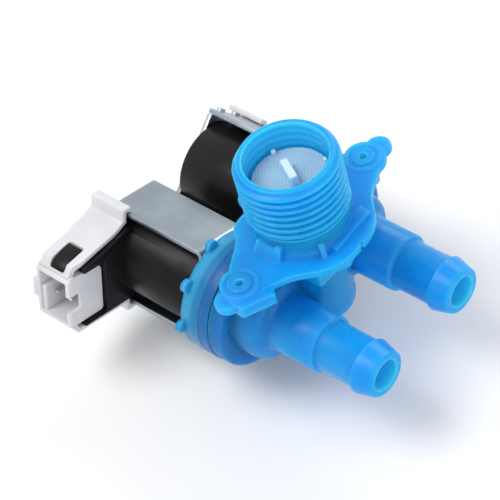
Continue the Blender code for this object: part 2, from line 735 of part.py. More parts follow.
def bonnet_profile():
    """Bonnet and guide tube in one moulding, from the inside of the tube round to its end."""
    front = BONNET_FRONT_X
    pocket_x = front - BONNET_POCKET_DEPTH
    recess_x = BONNET_BACK_X + 2.4 * MM
    inner_rim = BONNET_RADIUS - BONNET_RIM_WALL
    return [
        (0, GUIDE_FLOOR_X),
        (SPRING_BORE_RADIUS, GUIDE_FLOOR_X),
        (SPRING_BORE_RADIUS, GUIDE_STOP_X),
        (GUIDE_BORE_RADIUS, GUIDE_STOP_X),
        (GUIDE_BORE_RADIUS, pocket_x),
        (BONNET_POCKET_RADIUS, pocket_x),
        (BONNET_POCKET_RADIUS, front),
        (BONNET_RADIUS - 0.4 * MM, front),
        (BONNET_RADIUS, front - 0.4 * MM),
        (BONNET_RADIUS, BONNET_BACK_X + 0.5 * MM),
        (BONNET_RADIUS - 0.5 * MM, BONNET_BACK_X),
        (inner_rim, BONNET_BACK_X),
        (inner_rim, recess_x),
        (BONNET_HUB_RADIUS, recess_x),
        (BONNET_HUB_RADIUS, BONNET_BACK_X),
        (GUIDE_RADIUS, BONNET_BACK_X),
        (GUIDE_RADIUS, GUIDE_END_X + 0.6 * MM),
        (GUIDE_RADIUS - 0.6 * MM, GUIDE_END_X),
        (0, GUIDE_END_X),
    ]


def make_bonnet(label, side, valve):
    """One bonnet with its edge tabs, cut flat where it meets its neighbour."""
    bonnet = turned(label + "_bonnet", bonnet_profile(), parent=valve, mat=TEAL)
    tab = [(0, 0), (TAB_RADIUS - 0.2 * MM, 0), (TAB_RADIUS, -0.2 * MM)]
    tab += [(TAB_RADIUS, -TAB_THICKNESS), (0, -TAB_THICKNESS)]
    for index in range(TAB_COUNT):
        angle = TAB_FIRST_ANGLE + index * TAB_STEP_ANGLE
        reach = BONNET_RADIUS + 0.25 * TAB_RADIUS
        centre = (BONNET_BACK_X + TAB_THICKNESS + 0.02 * MM, side * reach * sin(angle), reach * cos(angle))
        name = label + "_tab_" + str(index)
        join(bonnet, turned(name, tab, "X", 16, centre=centre, parent=valve, cutter=True))
    flat = HALF_PITCH - CLEARANCE / 2
    beyond = HALF_PITCH + BONNET_RADIUS
    ends = sorted((-side * flat, -side * beyond))
    low = (BONNET_BACK_X - 1 * MM, ends[0], -2 * BONNET_RADIUS)
    high = (BONNET_FRONT_X + 1 * MM, ends[1], 2 * BONNET_RADIUS)
    cut(bonnet, box(label + "_bonnet_flat", low, high, parent=valve, cutter=True))
    smooth(bonnet)


def make_spring(label, valve, start, end):
    """The return spring behind an armature, a round wire on a helix about X."""
    curve = bpy.data.curves.new(label + "_armature_spring", "CURVE")
    curve.dimensions = "3D"
    curve.bevel_depth = SPRING_WIRE / 2
    curve.bevel_resolution = 1
    curve.use_fill_caps = True
    per_turn = 10
    count = SPRING_TURNS * per_turn
    spline = curve.splines.new("POLY")
    spline.points.add(count)
    for i, point in enumerate(spline.points):
        turn = 2 * pi * i / per_turn
        x = start + (end - start) * i / count
        point.co = (x, SPRING_RADIUS * cos(turn), SPRING_RADIUS * sin(turn), 1)
    spring = bpy.data.objects.new(label + "_armature_spring", curve)
    place(spring, valve, STAINLESS)


def make_valve_inside(label, valve):
    """Diaphragm, insert, armature, tip and spring of one valve, all about the valve's axis."""
    diaphragm = turned(label + "_diaphragm", diaphragm_profile(), "X", SMALL_STEPS, True,
                       parent=valve, mat=RUBBER)
    insert = turned(label + "_diaphragm_insert", insert_profile(), "X", SMALL_STEPS, True,
                    parent=valve, mat=HOLDER_PLASTIC)
    tip_pocket = TIP_RADIUS + CLEARANCE
    tip_end = TIP_X - TIP_LENGTH
    pocket_floor = tip_end - CLEARANCE
    spring_pocket = SPRING_BORE_RADIUS - 0.2 * MM
    spring_floor = ARMATURE_BACK_X + SPRING_POCKET_DEPTH
    armature = turned(label + "_armature", [
        (0, pocket_floor),
        (tip_pocket, pocket_floor),
        (tip_pocket, ARMATURE_FRONT_X),
        (ARMATURE_RADIUS - 1.4 * MM, ARMATURE_FRONT_X),
        (ARMATURE_RADIUS, ARMATURE_FRONT_X - 2.0 * MM),
        (ARMATURE_RADIUS, ARMATURE_BACK_X + 0.4 * MM),
        (ARMATURE_RADIUS - 0.4 * MM, ARMATURE_BACK_X),
        (spring_pocket, ARMATURE_BACK_X),
        (spring_pocket, spring_floor),
        (0, spring_floor),
    ], "X", SMALL_STEPS, parent=valve, mat=STAINLESS)
    tip = turned(label + "_armature_tip", [
        (0, TIP_X), (TIP_RADIUS - 0.4 * MM, TIP_X), (TIP_RADIUS, TIP_X - 0.4 * MM),
        (TIP_RADIUS, tip_end), (0, tip_end),
    ], "X", SMALL_STEPS, parent=valve, mat=RUBBER)
    for obj in (diaphragm, insert, armature, tip):
        smooth(obj)
    wire_room = CLEARANCE + SPRING_WIRE / 2
    make_spring(label, valve, spring_floor - wire_room, GUIDE_FLOOR_X + wire_room)


def yoke_path():
    """Outer face of the bent yoke strip in the XZ plane of a solenoid, plate A at -Z."""
    half = YOKE_HEIGHT / 2
    end = half - YOKE_SHEET - CLEARANCE
    bend = YOKE_BEND
    path = [(YOKE_FAR_X, end)]
    path += arc((YOKE_FAR_X + bend, -half + bend), bend, 180, 270, 5)
    path += arc((YOKE_NEAR_X - bend, -half + bend), bend, 270, 360, 5)
    path += [(YOKE_NEAR_X, end)]
    return [(x, 0, v) for x, v in path]


def make_yoke(label, solenoid):
    """Bent yoke frame with four staking tabs, and the side plate that they hold."""
    frame = strip(label + "_yoke_frame", yoke_path(), (0, -YOKE_WIDTH, 0), YOKE_SHEET,
                  parent=solenoid, mat=ZINC_PLATE)
    half = YOKE_HEIGHT / 2
    plate_in = half - YOKE_SHEET
    side_plate = box(
        label + "_yoke_side_plate",
        (YOKE_FAR_X, -YOKE_WIDTH / 2, plate_in),
        (YOKE_NEAR_X, YOKE_WIDTH / 2, half),
        parent=solenoid,
        mat=ZINC_PLATE,
    )
    for end_name, end_x, sign in (("far", YOKE_FAR_X, 1), ("near", YOKE_NEAR_X, -1)):
        hole_depth = 2 * YOKE_SHEET
        hole = [(0, hole_depth), (GUIDE_RADIUS + CLEARANCE, hole_depth)]
        hole += [(GUIDE_RADIUS + CLEARANCE, -hole_depth), (0, -hole_depth)]
        cutter = turned(label + "_" + end_name + "_hole", hole, "X", SMALL_STEPS,
                        centre=(end_x, 0, 0), parent=solenoid, cutter=True)
        cut(frame, cutter)
        inner = end_x + sign * YOKE_SHEET
        x_low, x_high = sorted((end_x + sign * 0.1 * MM, inner - sign * 0.1 * MM))
        for index, place_w in enumerate((-STAKE_SPACING / 2, STAKE_SPACING / 2)):
            low_w = place_w - STAKE_WIDTH / 2
            high_w = place_w + STAKE_WIDTH / 2
            name = "_".join((label, end_name, "stake", str(index)))
            stake = box(name, (x_low, low_w, plate_in - CLEARANCE - 1 * MM),
                        (x_high, high_w, half + STAKE_STAND), parent=solenoid, cutter=True)
            join(frame, stake)
            room = CLEARANCE
            slot_low = (x_low - room, low_w - room, plate_in - 1 * MM)
            slot_high = (x_high + room, high_w + room, half + 1 * MM)
            cut(side_plate, box(name + "_slot", slot_low, slot_high, parent=solenoid, cutter=True))
    smooth(frame)
    smooth(side_plate)


def block_outline():
    """Side view of the terminal block in (w, v), w the connector's way, v towards plate B."""
    root = YOKE_EDGE_W
    face = BLOCK_FACE_W
    top_root = -(SHROUD_A_SIDE + 6.2 * MM)
    top_face = -(SHROUD_A_SIDE + 3.3 * MM)
    tongue_end = SHROUD_MOUTH_W - 5.0 * MM
    ledge_end = SHROUD_MOUTH_W - 4.4 * MM
    low_in = SHROUD_B_SIDE + CLEARANCE
    low_out = SHROUD_B_SIDE + 1.1 * MM
    return [
        (root, top_root),
        (root + 2.0 * MM, top_root + 0.4 * MM),
        (face, top_face),
        (tongue_end, top_face + 1.5 * MM),
        (tongue_end, -SHROUD_A_SIDE - CLEARANCE),
        (face, -SHROUD_A_SIDE - CLEARANCE),
        (face, low_in),
        (ledge_end, low_in),
        (ledge_end, low_out),
        (root, low_out),
    ]


def catch_outline():
    """Side view in (w, v) of the ramped catch on the block's tongue, which fills the window."""
    low = WINDOW_LOW_W + CLEARANCE
    high = WINDOW_HIGH_W - CLEARANCE
    foot = -SHROUD_A_SIDE - CLEARANCE
    return [
        (low, foot),
        (low, foot - CATCH_STAND - 0.9 * MM),
        (low + 0.5 * MM, foot - CATCH_STAND - 1.2 * MM),
        (high - 1.6 * MM, foot - CATCH_STAND + 0.3 * MM),
        (high, foot - 1.2 * MM),
        (high, foot),
    ]


def make_coil(label, solenoid):
    """Coil housing with its terminal block, and the bobbin, winding and flux sleeve inside."""
    length = [(0, COIL_NEAR_X), (COIL_RADIUS, COIL_NEAR_X), (COIL_RADIUS, COIL_FAR_X), (0, COIL_FAR_X)]
    housing = turned(label + "_coil_housing", length, parent=solenoid, mat=COIL_PLASTIC)
    block_low = CONNECTOR_CENTRE_X - BLOCK_WIDTH / 2 + 0.6 * MM
    block_high = CONNECTOR_CENTRE_X + BLOCK_WIDTH / 2 + 0.6 * MM
    block = slab_x(label + "_terminal_block", block_outline(), block_low, block_high,
                   parent=solenoid, cutter=True)
    bore = [(0, COIL_NEAR_X + 1 * MM), (COIL_BORE_RADIUS, COIL_NEAR_X + 1 * MM)]
    bore += [(COIL_BORE_RADIUS, COIL_FAR_X - 1.3 * MM), (0, COIL_FAR_X - 1.3 * MM)]
    room = turned(label + "_coil_bore", bore, parent=solenoid, cutter=True)
    catch_half = WINDOW_WIDTH / 2 - CLEARANCE
    catch = slab_x(label + "_catch", catch_outline(), WINDOW_CENTRE_X - catch_half,
                   WINDOW_CENTRE_X + catch_half, parent=solenoid, cutter=True)
    join(housing, block, catch)
    cut(housing, room)
    inner = BOBBIN_BORE_RADIUS + BOBBIN_CORE
    near = COIL_NEAR_X
    far = COIL_FAR_X
    bobbin = turned(label + "_coil_bobbin", [
        (BOBBIN_RADIUS, near),
        (BOBBIN_RADIUS, near - BOBBIN_FLANGE),
        (inner, near - BOBBIN_FLANGE),
        (inner, far + BOBBIN_FLANGE),
        (BOBBIN_RADIUS, far + BOBBIN_FLANGE),
        (BOBBIN_RADIUS, far),
        (BOBBIN_BORE_RADIUS, far),
        (BOBBIN_BORE_RADIUS, near),
    ], "X", SMALL_STEPS, True, parent=solenoid, mat=GREY_PLASTIC)
    wind_near = near - BOBBIN_FLANGE - CLEARANCE
    wind_far = far + BOBBIN_FLANGE + CLEARANCE
    wind_in = inner + CLEARANCE
    wind_out = BOBBIN_RADIUS - 0.1 * MM
    winding = turned(label + "_coil_winding", [
        (wind_out, wind_near), (wind_out, wind_far), (wind_in, wind_far), (wind_in, wind_near),
    ], "X", SMALL_STEPS, True, parent=solenoid, mat=COPPER_WIRE)
    sleeve_in = GUIDE_RADIUS + CLEARANCE
    sleeve_out = BOBBIN_BORE_RADIUS - CLEARANCE
    sleeve_near = far + SLEEVE_LENGTH
    sleeve = turned(label + "_flux_sleeve", [
        (sleeve_out, sleeve_near), (sleeve_out, far), (sleeve_in, far), (sleeve_in, sleeve_near),
    ], "X", SMALL_STEPS, True, parent=solenoid, mat=ZINC_PLATE)
    for obj in (housing, bobbin, winding, sleeve):
        smooth(obj)
    return housing


def connector_straps(label, solenoid):
    """The two bent straps that hook over the yoke's plates."""
    half = YOKE_HEIGHT / 2
    over = half + CLEARANCE + STRAP_THICKNESS
    hook_w = YOKE_WIDTH / 2 - HOOK_LAP
    drop_w = YOKE_EDGE_W + STRAP_THICKNESS
    mouth = SHROUD_MOUTH_W
    a_side = SHROUD_A_SIDE
    b_side = SHROUD_B_SIDE
    strap_a = [
        (hook_w, -over),
        (drop_w, -over),
        (drop_w + 0.2 * MM, -(a_side + 8.0 * MM)),
        (BLOCK_FACE_W - 3.7 * MM, -(a_side + 6.1 * MM)),
        (BLOCK_FACE_W + 1.3 * MM, -(a_side + 5.0 * MM)),
        (mouth - 2.4 * MM, -(a_side + 3.0 * MM)),
        (mouth - 0.7 * MM, -(a_side + 0.1 * MM)),
    ]
    strap_b = [
        (mouth - 1.2 * MM, b_side + 0.6 * MM),
        (mouth - 2.6 * MM, b_side + 2.8 * MM),
        (drop_w + 0.4 * MM, b_side + 3.0 * MM),
        (drop_w, over),
        (hook_w, over),
    ]
    straps = []
    for name, path in (("_strap_a", strap_a), ("_strap_b", strap_b)):
        points = [(0, w, v) for w, v in path]
        straps.append(strip(label + name, points, (CONNECTOR_WIDTH - 0.2 * MM, 0, 0), STRAP_THICKNESS,
                            centre=CONNECTOR_CENTRE_X, parent=solenoid, cutter=True))
    return straps


def pin_places():
    """The places of the two pins along X."""
    return (CONNECTOR_CENTRE_X - PIN_SPACING / 2, CONNECTOR_CENTRE_X + PIN_SPACING / 2)


def make_connector(label, solenoid, coil_housing):
    """White clip-on connector with its shroud, straps, window and coding ribs, and its two pins."""
    half = CONNECTOR_WIDTH / 2
    low_x = CONNECTOR_CENTRE_X - half
    high_x = CONNECTOR_CENTRE_X + half
    wall = CONNECTOR_WALL
    back = SHROUD_BACK_W
    mouth = SHROUD_MOUTH_W
    a_side = -SHROUD_A_SIDE
    b_side = SHROUD_B_SIDE
    connector = box(label + "_connector", (low_x, back, a_side), (high_x, mouth, b_side),
                    bevel=0.8 * MM, parent=solenoid, mat=WHITE_PLASTIC)
    join(connector, *connector_straps(label, solenoid))
    outer_rib = box(label + "_outer_rib", (low_x - 1.8 * MM, mouth - 6 * MM, 0.2 * MM),
                    (low_x + 0.4 * MM, mouth - 0.1 * MM, 5.8 * MM), bevel=0.5 * MM,
                    parent=solenoid, cutter=True)
    cavity = box(label + "_cavity", (low_x + wall, back + wall, a_side + wall),
                 (high_x - wall, mouth + 2 * MM, b_side - wall), parent=solenoid, cutter=True)
    side_slot = box(label + "_side_slot", (high_x - 2 * wall, mouth - 4.2 * MM, 0.4 * MM),
                    (high_x + 1 * MM, mouth + 2 * MM, 5.6 * MM), parent=solenoid, cutter=True)
    window = box(label + "_window",
                 (WINDOW_CENTRE_X - WINDOW_WIDTH / 2, WINDOW_LOW_W, a_side - 7.0 * MM),
                 (WINDOW_CENTRE_X + WINDOW_WIDTH / 2, WINDOW_HIGH_W, a_side),
                 parent=solenoid, cutter=True)
    inner_rib = box(label + "_inner_rib", (low_x + wall - 0.4 * MM, back + 0.5 * wall, 1.4 * MM),
                    (low_x + wall + 1.4 * MM, mouth - 0.6 * MM, b_side - 0.5 * wall), bevel=0.3 * MM,
                    parent=solenoid, cutter=True)
    join(connector, outer_rib)
    cut(connector, cavity, side_slot, window)
    join(connector, inner_rib)
    for index, x in enumerate(pin_places()):
        low = (x - PIN_WIDTH / 2, PIN_BASE_W, PIN_V - PIN_THICKNESS / 2)
        high = (x + PIN_WIDTH / 2, PIN_BASE_W + PIN_LENGTH, PIN_V + PIN_THICKNESS / 2)
        pin = box(label + "_terminal_" + str(index + 1), low, high, parent=solenoid, mat=TINNED)
        add_bevel(pin, 0.2 * MM, 1)
        room = Vector((CLEARANCE, CLEARANCE, CLEARANCE))
        slot = box(label + "_pin_slot_" + str(index + 1), Vector(low) - room, Vector(high) + room,
                   parent=solenoid, cutter=True)
        cut(connector, slot)
        cut(coil_housing, slot)
        smooth(pin)
    smooth(connector)


def main():
    """Builds the whole valve."""
    make_body()
    make_filter()
    sides = (("front", -1, FRONT_SOLENOID_ANGLE), ("rear", 1, REAR_SOLENOID_ANGLE))
    for label, side, angle in sides:
        centre = (0, side * HALF_PITCH, AXIS_Z)
        valve = empty(label + "_valve_axis", centre)
        solenoid = empty(label + "_solenoid_axis", centre, angle)
        make_bonnet(label, side, valve)
        make_valve_inside(label, valve)
        make_yoke(label, solenoid)
        coil_housing = make_coil(label, solenoid)
        make_connector(label, solenoid, coil_housing)


main()
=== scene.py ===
"""Dressed model of a washing machine inlet valve: blue body, zinc yokes, black coils, white connectors."""
from math import cos, pi, radians, sin

import bmesh
import bpy
from mathutils import Matrix, Vector


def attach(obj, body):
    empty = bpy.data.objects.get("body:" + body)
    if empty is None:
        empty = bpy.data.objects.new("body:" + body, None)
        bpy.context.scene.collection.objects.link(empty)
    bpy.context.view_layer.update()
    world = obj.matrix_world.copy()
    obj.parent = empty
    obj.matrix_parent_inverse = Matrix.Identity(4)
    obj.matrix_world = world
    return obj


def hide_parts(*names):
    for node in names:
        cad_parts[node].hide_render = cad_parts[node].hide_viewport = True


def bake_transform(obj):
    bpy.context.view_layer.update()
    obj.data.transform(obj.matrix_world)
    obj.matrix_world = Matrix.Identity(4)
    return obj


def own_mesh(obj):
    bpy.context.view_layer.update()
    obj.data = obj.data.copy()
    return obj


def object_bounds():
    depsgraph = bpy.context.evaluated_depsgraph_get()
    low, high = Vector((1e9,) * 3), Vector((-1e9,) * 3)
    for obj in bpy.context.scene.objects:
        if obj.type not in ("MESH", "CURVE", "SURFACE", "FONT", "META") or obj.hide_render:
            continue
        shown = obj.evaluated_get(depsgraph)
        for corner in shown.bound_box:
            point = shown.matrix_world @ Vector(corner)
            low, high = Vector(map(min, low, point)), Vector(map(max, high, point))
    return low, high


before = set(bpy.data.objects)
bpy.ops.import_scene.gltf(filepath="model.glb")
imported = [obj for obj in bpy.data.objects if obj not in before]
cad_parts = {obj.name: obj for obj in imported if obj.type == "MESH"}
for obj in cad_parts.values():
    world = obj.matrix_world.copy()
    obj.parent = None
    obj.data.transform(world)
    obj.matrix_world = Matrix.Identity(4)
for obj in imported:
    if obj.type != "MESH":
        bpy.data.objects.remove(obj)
CAD_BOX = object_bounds()

# Sizes in millimetres. The two valves lie along X, the inlet stands along Z.

MM = 0.001
AXIS_Z = -22.9
HALF_PITCH = 15.3
BOSS_REACH = 24.1
SIDES = (("front", -1, radians(163.35)), ("rear", 1, radians(-51.3)))

THREAD_PITCH = 2.209
NECK_ROOT = 12.2
NECK_BORE = 10.7
OUTLET_BORE = 4.1
PILOT_HOLE = 1.1
BASE_LOW = AXIS_Z - 10.6
BASE_WALL = 2.2

FOLD_START, FOLD_END = 9.6, 7.1
FOLD_SECTORS = 8
SPRING_START, SPRING_END = -34.4, -50.4

CENTRE_X = -51.3
BACK, MOUTH = 18.0, 30.0
SHROUD_HALF = 6.0
STRAP_WIDTH, STRAP_SHEET = 11.8, 1.4
WINDOW_X, WINDOW_LOW, WINDOW_HIGH = CENTRE_X + 0.65, 21.1, 28.8
WINDOW_HALF, CATCH_HALF = 2.65, 2.35
PIN_OFFSETS = (-2.5, 2.5)

YOKE_NEAR, YOKE_FAR = -19.3, -52.6
YOKE_HALF, YOKE_TOP = 7.75, 12.95
YOKE_SHEET, YOKE_BEND, BEND_CENTRE = 1.25, 2.2, -12.3
TUBE_HOLE = 6.1

TAB_TURN = -27.6
TAB_HALF_LENGTH, TAB_HALF_WIDTH = 3.5, 1.0
TAB_FIT = 0.02
WEAVE_OVERLAP = 0.05

CAMERA_SPOT = (279.366, -223.183, 385.062)
CAMERA_RIGHT = (0.7407, 0.6418, -0.1987)
CAMERA_UP = (-0.3943, 0.6547, 0.6449)
CAMERA_LENS = 153.36
FLOOR_GAP = 0.3
FLOOR_HALF = 3


# Materials

CLOUD_SCALE, GLOSS_SCALE = 60, 220
SHEEN_SCALE, LINE_SCALE = 90, 420
GRAIN_DEPTH, LINE_DEPTH = 0.00008, 0.00005
# Painted highlight on plastic edges: its share of the edge colour.
EDGE_HIGHLIGHT_SHARE = 0.6
# Painted highlight on metal edges: its colour.
EDGE_HIGHLIGHT_COLOUR = (0.92, 0.93, 0.95)


def new_material(name):
    """An empty node material with its Principled shader."""
    mat = bpy.data.materials.new(name)
    mat.use_nodes = True
    return mat, mat.node_tree, mat.node_tree.nodes["Principled BSDF"]


def node(tree, kind, **settings):
    """Adds a node and sets its inputs by name, its properties by lower-case name."""
    item = tree.nodes.new(kind)
    for key, value in settings.items():
        if hasattr(item, key):
            setattr(item, key, value)
        else:
            item.inputs[key.replace("_", " ")].default_value = value
    return item


def calc(tree, operation, *values):
    """A math node on sockets or numbers."""
    item = node(tree, "ShaderNodeMath", operation=operation)
    for socket, value in zip(item.inputs, values):
        if isinstance(value, (int, float)):
            socket.default_value = value
        else:
            tree.links.new(value, socket)
    return item.outputs[0]


def object_axes(tree):
    """Object coordinates as three sockets, in metres."""
    where = node(tree, "ShaderNodeTexCoord")
    axes = node(tree, "ShaderNodeSeparateXYZ")
    tree.links.new(where.outputs["Object"], axes.inputs[0])
    return axes.outputs


def distance(tree, first, second):
    """Distance from an axis, worked out from two offsets across it."""
    squares = [calc(tree, "MULTIPLY", value, value) for value in (first, second)]
    return calc(tree, "SQRT", calc(tree, "ADD", *squares))


def noise(tree, scale, detail=3.0, stretch=(1, 1, 1)):
    """Noise on Object coordinates, in cycles per metre."""
    where = node(tree, "ShaderNodeTexCoord")
    mapping = node(tree, "ShaderNodeMapping")
    mapping.inputs["Scale"].default_value = stretch
    texture = node(tree, "ShaderNodeTexNoise", Scale=scale, Detail=detail)
    tree.links.new(where.outputs["Object"], mapping.inputs["Vector"])
    tree.links.new(mapping.outputs["Vector"], texture.inputs["Vector"])
    return texture.outputs["Fac"]


def spread(tree, value, low, high, start=0.3, end=0.7):
    """Maps a value between start and end to one between low and high. The defaults fit noise."""
    item = node(tree, "ShaderNodeMapRange")
    item.inputs["From Min"].default_value = start
    item.inputs["From Max"].default_value = end
    item.inputs["To Min"].default_value = low
    item.inputs["To Max"].default_value = high
    tree.links.new(value, item.inputs["Value"])
    return item.outputs["Result"]


def ramp(tree, value, low, high, start, end):
    """The same map with its start and end in millimetres."""
    return spread(tree, value, low, high, start * MM, end * MM)


def mixed(tree, factor, first, second):
    """Mixes two colours by a factor. Each is a socket or three numbers."""
    item = node(tree, "ShaderNodeMix", data_type="RGBA")
    tree.links.new(factor, item.inputs["Factor"])
    for socket, colour in ((item.inputs[6], first), (item.inputs[7], second)):
        if isinstance(colour, tuple):
            socket.default_value = (*colour, 1)
        else:
            tree.links.new(colour, socket)
    return item.outputs[2]


def soft_edges(tree, shader, height, strength, depth, radius):
    """Bump over normals that are rounded at the edges."""
    bevel = node(tree, "ShaderNodeBevel", samples=4)
    bevel.inputs["Radius"].default_value = radius
    bump = node(tree, "ShaderNodeBump", Strength=strength, Distance=depth)
    tree.links.new(height, bump.inputs["Height"])
    tree.links.new(bevel.outputs["Normal"], bump.inputs["Normal"])
    tree.links.new(bump.outputs["Normal"], shader.inputs["Normal"])
    return bevel.outputs["Normal"]


def edge_mask(tree, rounded):
    """How far the rounded normal leans from the true one, which picks out edges."""
    geometry = node(tree, "ShaderNodeNewGeometry")
    dot = node(tree, "ShaderNodeVectorMath", operation="DOT_PRODUCT")
    tree.links.new(rounded, dot.inputs[0])
    tree.links.new(geometry.outputs["Normal"], dot.inputs[1])
    return spread(tree, dot.outputs["Value"], 1.0, 0.0, 0.72, 0.99)


def moulded(name, dark, light, roughness, grain=900, bump=0.05, edge=0.25, pale=None, **sockets):
    """A moulded plastic with cloudy colour, uneven gloss, a fine grain and, if asked, a painted highlight on
    its edges in the pale colour.
    """
    mat, tree, shader = new_material(name)
    for key, value in sockets.items():
        shader.inputs[key.replace("_", " ")].default_value = value
    colour = mixed(tree, spread(tree, noise(tree, CLOUD_SCALE, 2.0), 0, 1), dark, light)
    gloss = spread(tree, noise(tree, GLOSS_SCALE), roughness * 0.8, roughness * 1.25)
    tree.links.new(gloss, shader.inputs["Roughness"])
    rounded = soft_edges(tree, shader, noise(tree, grain, 4.0), bump, GRAIN_DEPTH, edge * MM)
    # Painted highlight: edges are mixed towards the pale colour.
    if pale:
        colour = mixed(tree, calc(tree, "MULTIPLY", edge_mask(tree, rounded), EDGE_HIGHLIGHT_SHARE), colour, pale)
    tree.links.new(colour, shader.inputs["Base Color"])
    return mat


def plated(name, dark, light, roughness, stretch, edge_highlight=0.5):
    """A plated steel with drawn lines, cloudy sheen and a painted highlight on its edges."""
    mat, tree, shader = new_material(name)
    shader.inputs["Metallic"].default_value = 1.0
    lines = noise(tree, LINE_SCALE, 4.0, stretch)
    rounded = soft_edges(tree, shader, lines, 0.02, LINE_DEPTH, 0.22 * MM)
    colour = mixed(tree, spread(tree, noise(tree, SHEEN_SCALE, 2.0), 0, 1), dark, light)
    # Painted highlight: edges are mixed towards a near-white colour.
    colour = mixed(tree, calc(tree, "MULTIPLY", edge_mask(tree, rounded), edge_highlight), colour, EDGE_HIGHLIGHT_COLOUR)
    tree.links.new(colour, shader.inputs["Base Color"])
    tree.links.new(spread(tree, lines, roughness * 0.85, roughness * 1.15), shader.inputs["Roughness"])
    return mat


def recolour(mat, factor, colour):
    """Lays a colour, or a socket's colour, over what a material has so far."""
    tree = mat.node_tree
    base = tree.nodes["Principled BSDF"].inputs["Base Color"]
    tree.links.new(mixed(tree, factor, base.links[0].from_socket, colour), base)


def see_through(mat, plain, painted_light, painted_shade):
    """Painted light and shade on the body's walls: painted shade low down towards the chambers, painted light
    in the bores, and painted light bands along the thread's turns inside the neck.
    """
    tree = mat.node_tree
    x, y, z = object_axes(tree)
    # Painted shade: low on the body, towards the chambers.
    deep = calc(tree, "MULTIPLY", ramp(tree, x, 0.75, 0, -4, 7), ramp(tree, z, 1, 0, -7, -2.5))
    recolour(mat, deep, painted_shade)

    # Painted light: inside the neck and the bores, where light shines through the walls.
    from_neck = distance(tree, x, y)
    in_neck = calc(tree, "MULTIPLY", ramp(tree, from_neck, 1, 0, 10.8, 11.3), ramp(tree, z, 0, 1, 3, 6))
    outwards = calc(tree, "ABSOLUTE", y)
    across = calc(tree, "SUBTRACT", outwards, HALF_PITCH * MM)
    from_outlet = distance(tree, across, calc(tree, "SUBTRACT", z, AXIS_Z * MM))
    in_outlet = calc(tree, "MULTIPLY", ramp(tree, from_outlet, 1, 0, 4.2, 4.8), ramp(tree, x, 0, 1, 8, 16))
    from_boss = distance(tree, x, calc(tree, "SUBTRACT", outwards, BOSS_REACH * MM))
    in_boss = calc(tree, "MULTIPLY", ramp(tree, from_boss, 1, 0, 1.2, 1.5), ramp(tree, z, 0, 1, -5, -3))
    in_bore = calc(tree, "MAXIMUM", in_outlet, in_boss)

    # Painted light bands that follow the thread's turns inside the neck.
    climb = calc(tree, "MULTIPLY", z, 2 * pi / (THREAD_PITCH * MM))
    turns = calc(tree, "SUBTRACT", calc(tree, "ARCTAN2", y, x), climb)
    band = calc(tree, "MULTIPLY_ADD", calc(tree, "SINE", turns), 0.5, 0.5)
    lit = calc(tree, "MAXIMUM", calc(tree, "MULTIPLY", band, in_neck), in_bore)
    recolour(mat, calc(tree, "MAXIMUM", in_neck, in_bore), mixed(tree, lit, plain, painted_light))


def banded(mat, painted_light, painted_shade):
    """Painted light and shade on a bonnet's ring: painted light behind its seat, stronger higher up, and
    painted shade on its end next to the body.
    """
    tree = mat.node_tree
    x, _, z = object_axes(tree)
    # Painted light behind the seat, stronger higher up.
    seat = calc(tree, "MULTIPLY", ramp(tree, x, 0, 1, -18.6, -17.8), ramp(tree, x, 1, 0, -16.0, -15.0))
    recolour(mat, calc(tree, "MULTIPLY", seat, ramp(tree, z, 0.05, 0.8, -31, -10)), painted_light)
    # Painted shade on the ring's end next to the body.
    recolour(mat, ramp(tree, x, 0, 0.75, -13.6, -12.9), painted_shade)


# The blue and teal plastics carry a painted highlight on their edges in their pale colour.
BLUE = moulded(
    "translucent_blue", (0.003, 0.28, 0.75), (0.012, 0.35, 0.84), 0.30, grain=500, bump=0.015, edge=0.45,
    pale=(0.13, 0.52, 0.90),
    Subsurface_Weight=1.0, Subsurface_Radius=(0.25, 0.8, 1.0), Subsurface_Scale=0.009,
    Specular_IOR_Level=0.2,
)
# The body's colours: plain, painted light, painted shade.
see_through(BLUE, (0.020, 0.42, 0.90), (0.065, 0.53, 0.95), (0.003, 0.11, 0.33))
TEAL = moulded(
    "translucent_teal", (0.006, 0.19, 0.41), (0.022, 0.27, 0.53), 0.30, grain=500, bump=0.015, edge=0.4,
    pale=(0.18, 0.52, 0.78),
    Subsurface_Weight=1.0, Subsurface_Radius=(0.3, 0.8, 1.0), Subsurface_Scale=0.004,
    Specular_IOR_Level=0.2,
)
# The teal ring's painted light and painted shade.
banded(TEAL, (0.05, 0.42, 0.66), (0.010, 0.13, 0.40))
PALE = moulded(
    "pale_filter_plastic", (0.58, 0.75, 0.86), (0.68, 0.82, 0.91), 0.35, edge=0.2,
    Subsurface_Weight=0.6, Subsurface_Radius=(0.5, 0.8, 1.0), Subsurface_Scale=0.002,
)
WEAVE = moulded("filter_weave", (0.40, 0.62, 0.75), (0.50, 0.70, 0.82), 0.5, grain=2500, bump=0.1, edge=0.05)
WHITE = moulded(
    "connector_white", (0.64, 0.64, 0.67), (0.72, 0.72, 0.75), 0.38, grain=1400, bump=0.05, edge=0.25,
    Subsurface_Weight=0.35, Subsurface_Radius=(1.0, 0.8, 0.6), Subsurface_Scale=0.002,
)
BLACK = moulded(
    "coil_black", (0.005, 0.005, 0.006), (0.009, 0.009, 0.010), 0.33, grain=1200, bump=0.05, edge=0.3,
    Specular_IOR_Level=0.16,
)
RUBBER = moulded("black_rubber", (0.012, 0.012, 0.012), (0.025, 0.025, 0.025), 0.65, grain=1500, bump=0.15)
GREY = moulded("bobbin_grey", (0.22, 0.22, 0.24), (0.30, 0.30, 0.32), 0.45, edge=0.2)
HOLDER = moulded("holder_white", (0.62, 0.64, 0.66), (0.72, 0.74, 0.76), 0.4, edge=0.2)
ZINC = plated("zinc_plate", (0.26, 0.305, 0.35), (0.33, 0.38, 0.425), 0.34, (0.3, 1.0, 1.0))
STEEL = plated("ground_steel", (0.50, 0.50, 0.51), (0.62, 0.62, 0.63), 0.24, (1.6, 0.2, 0.2), 0.3)
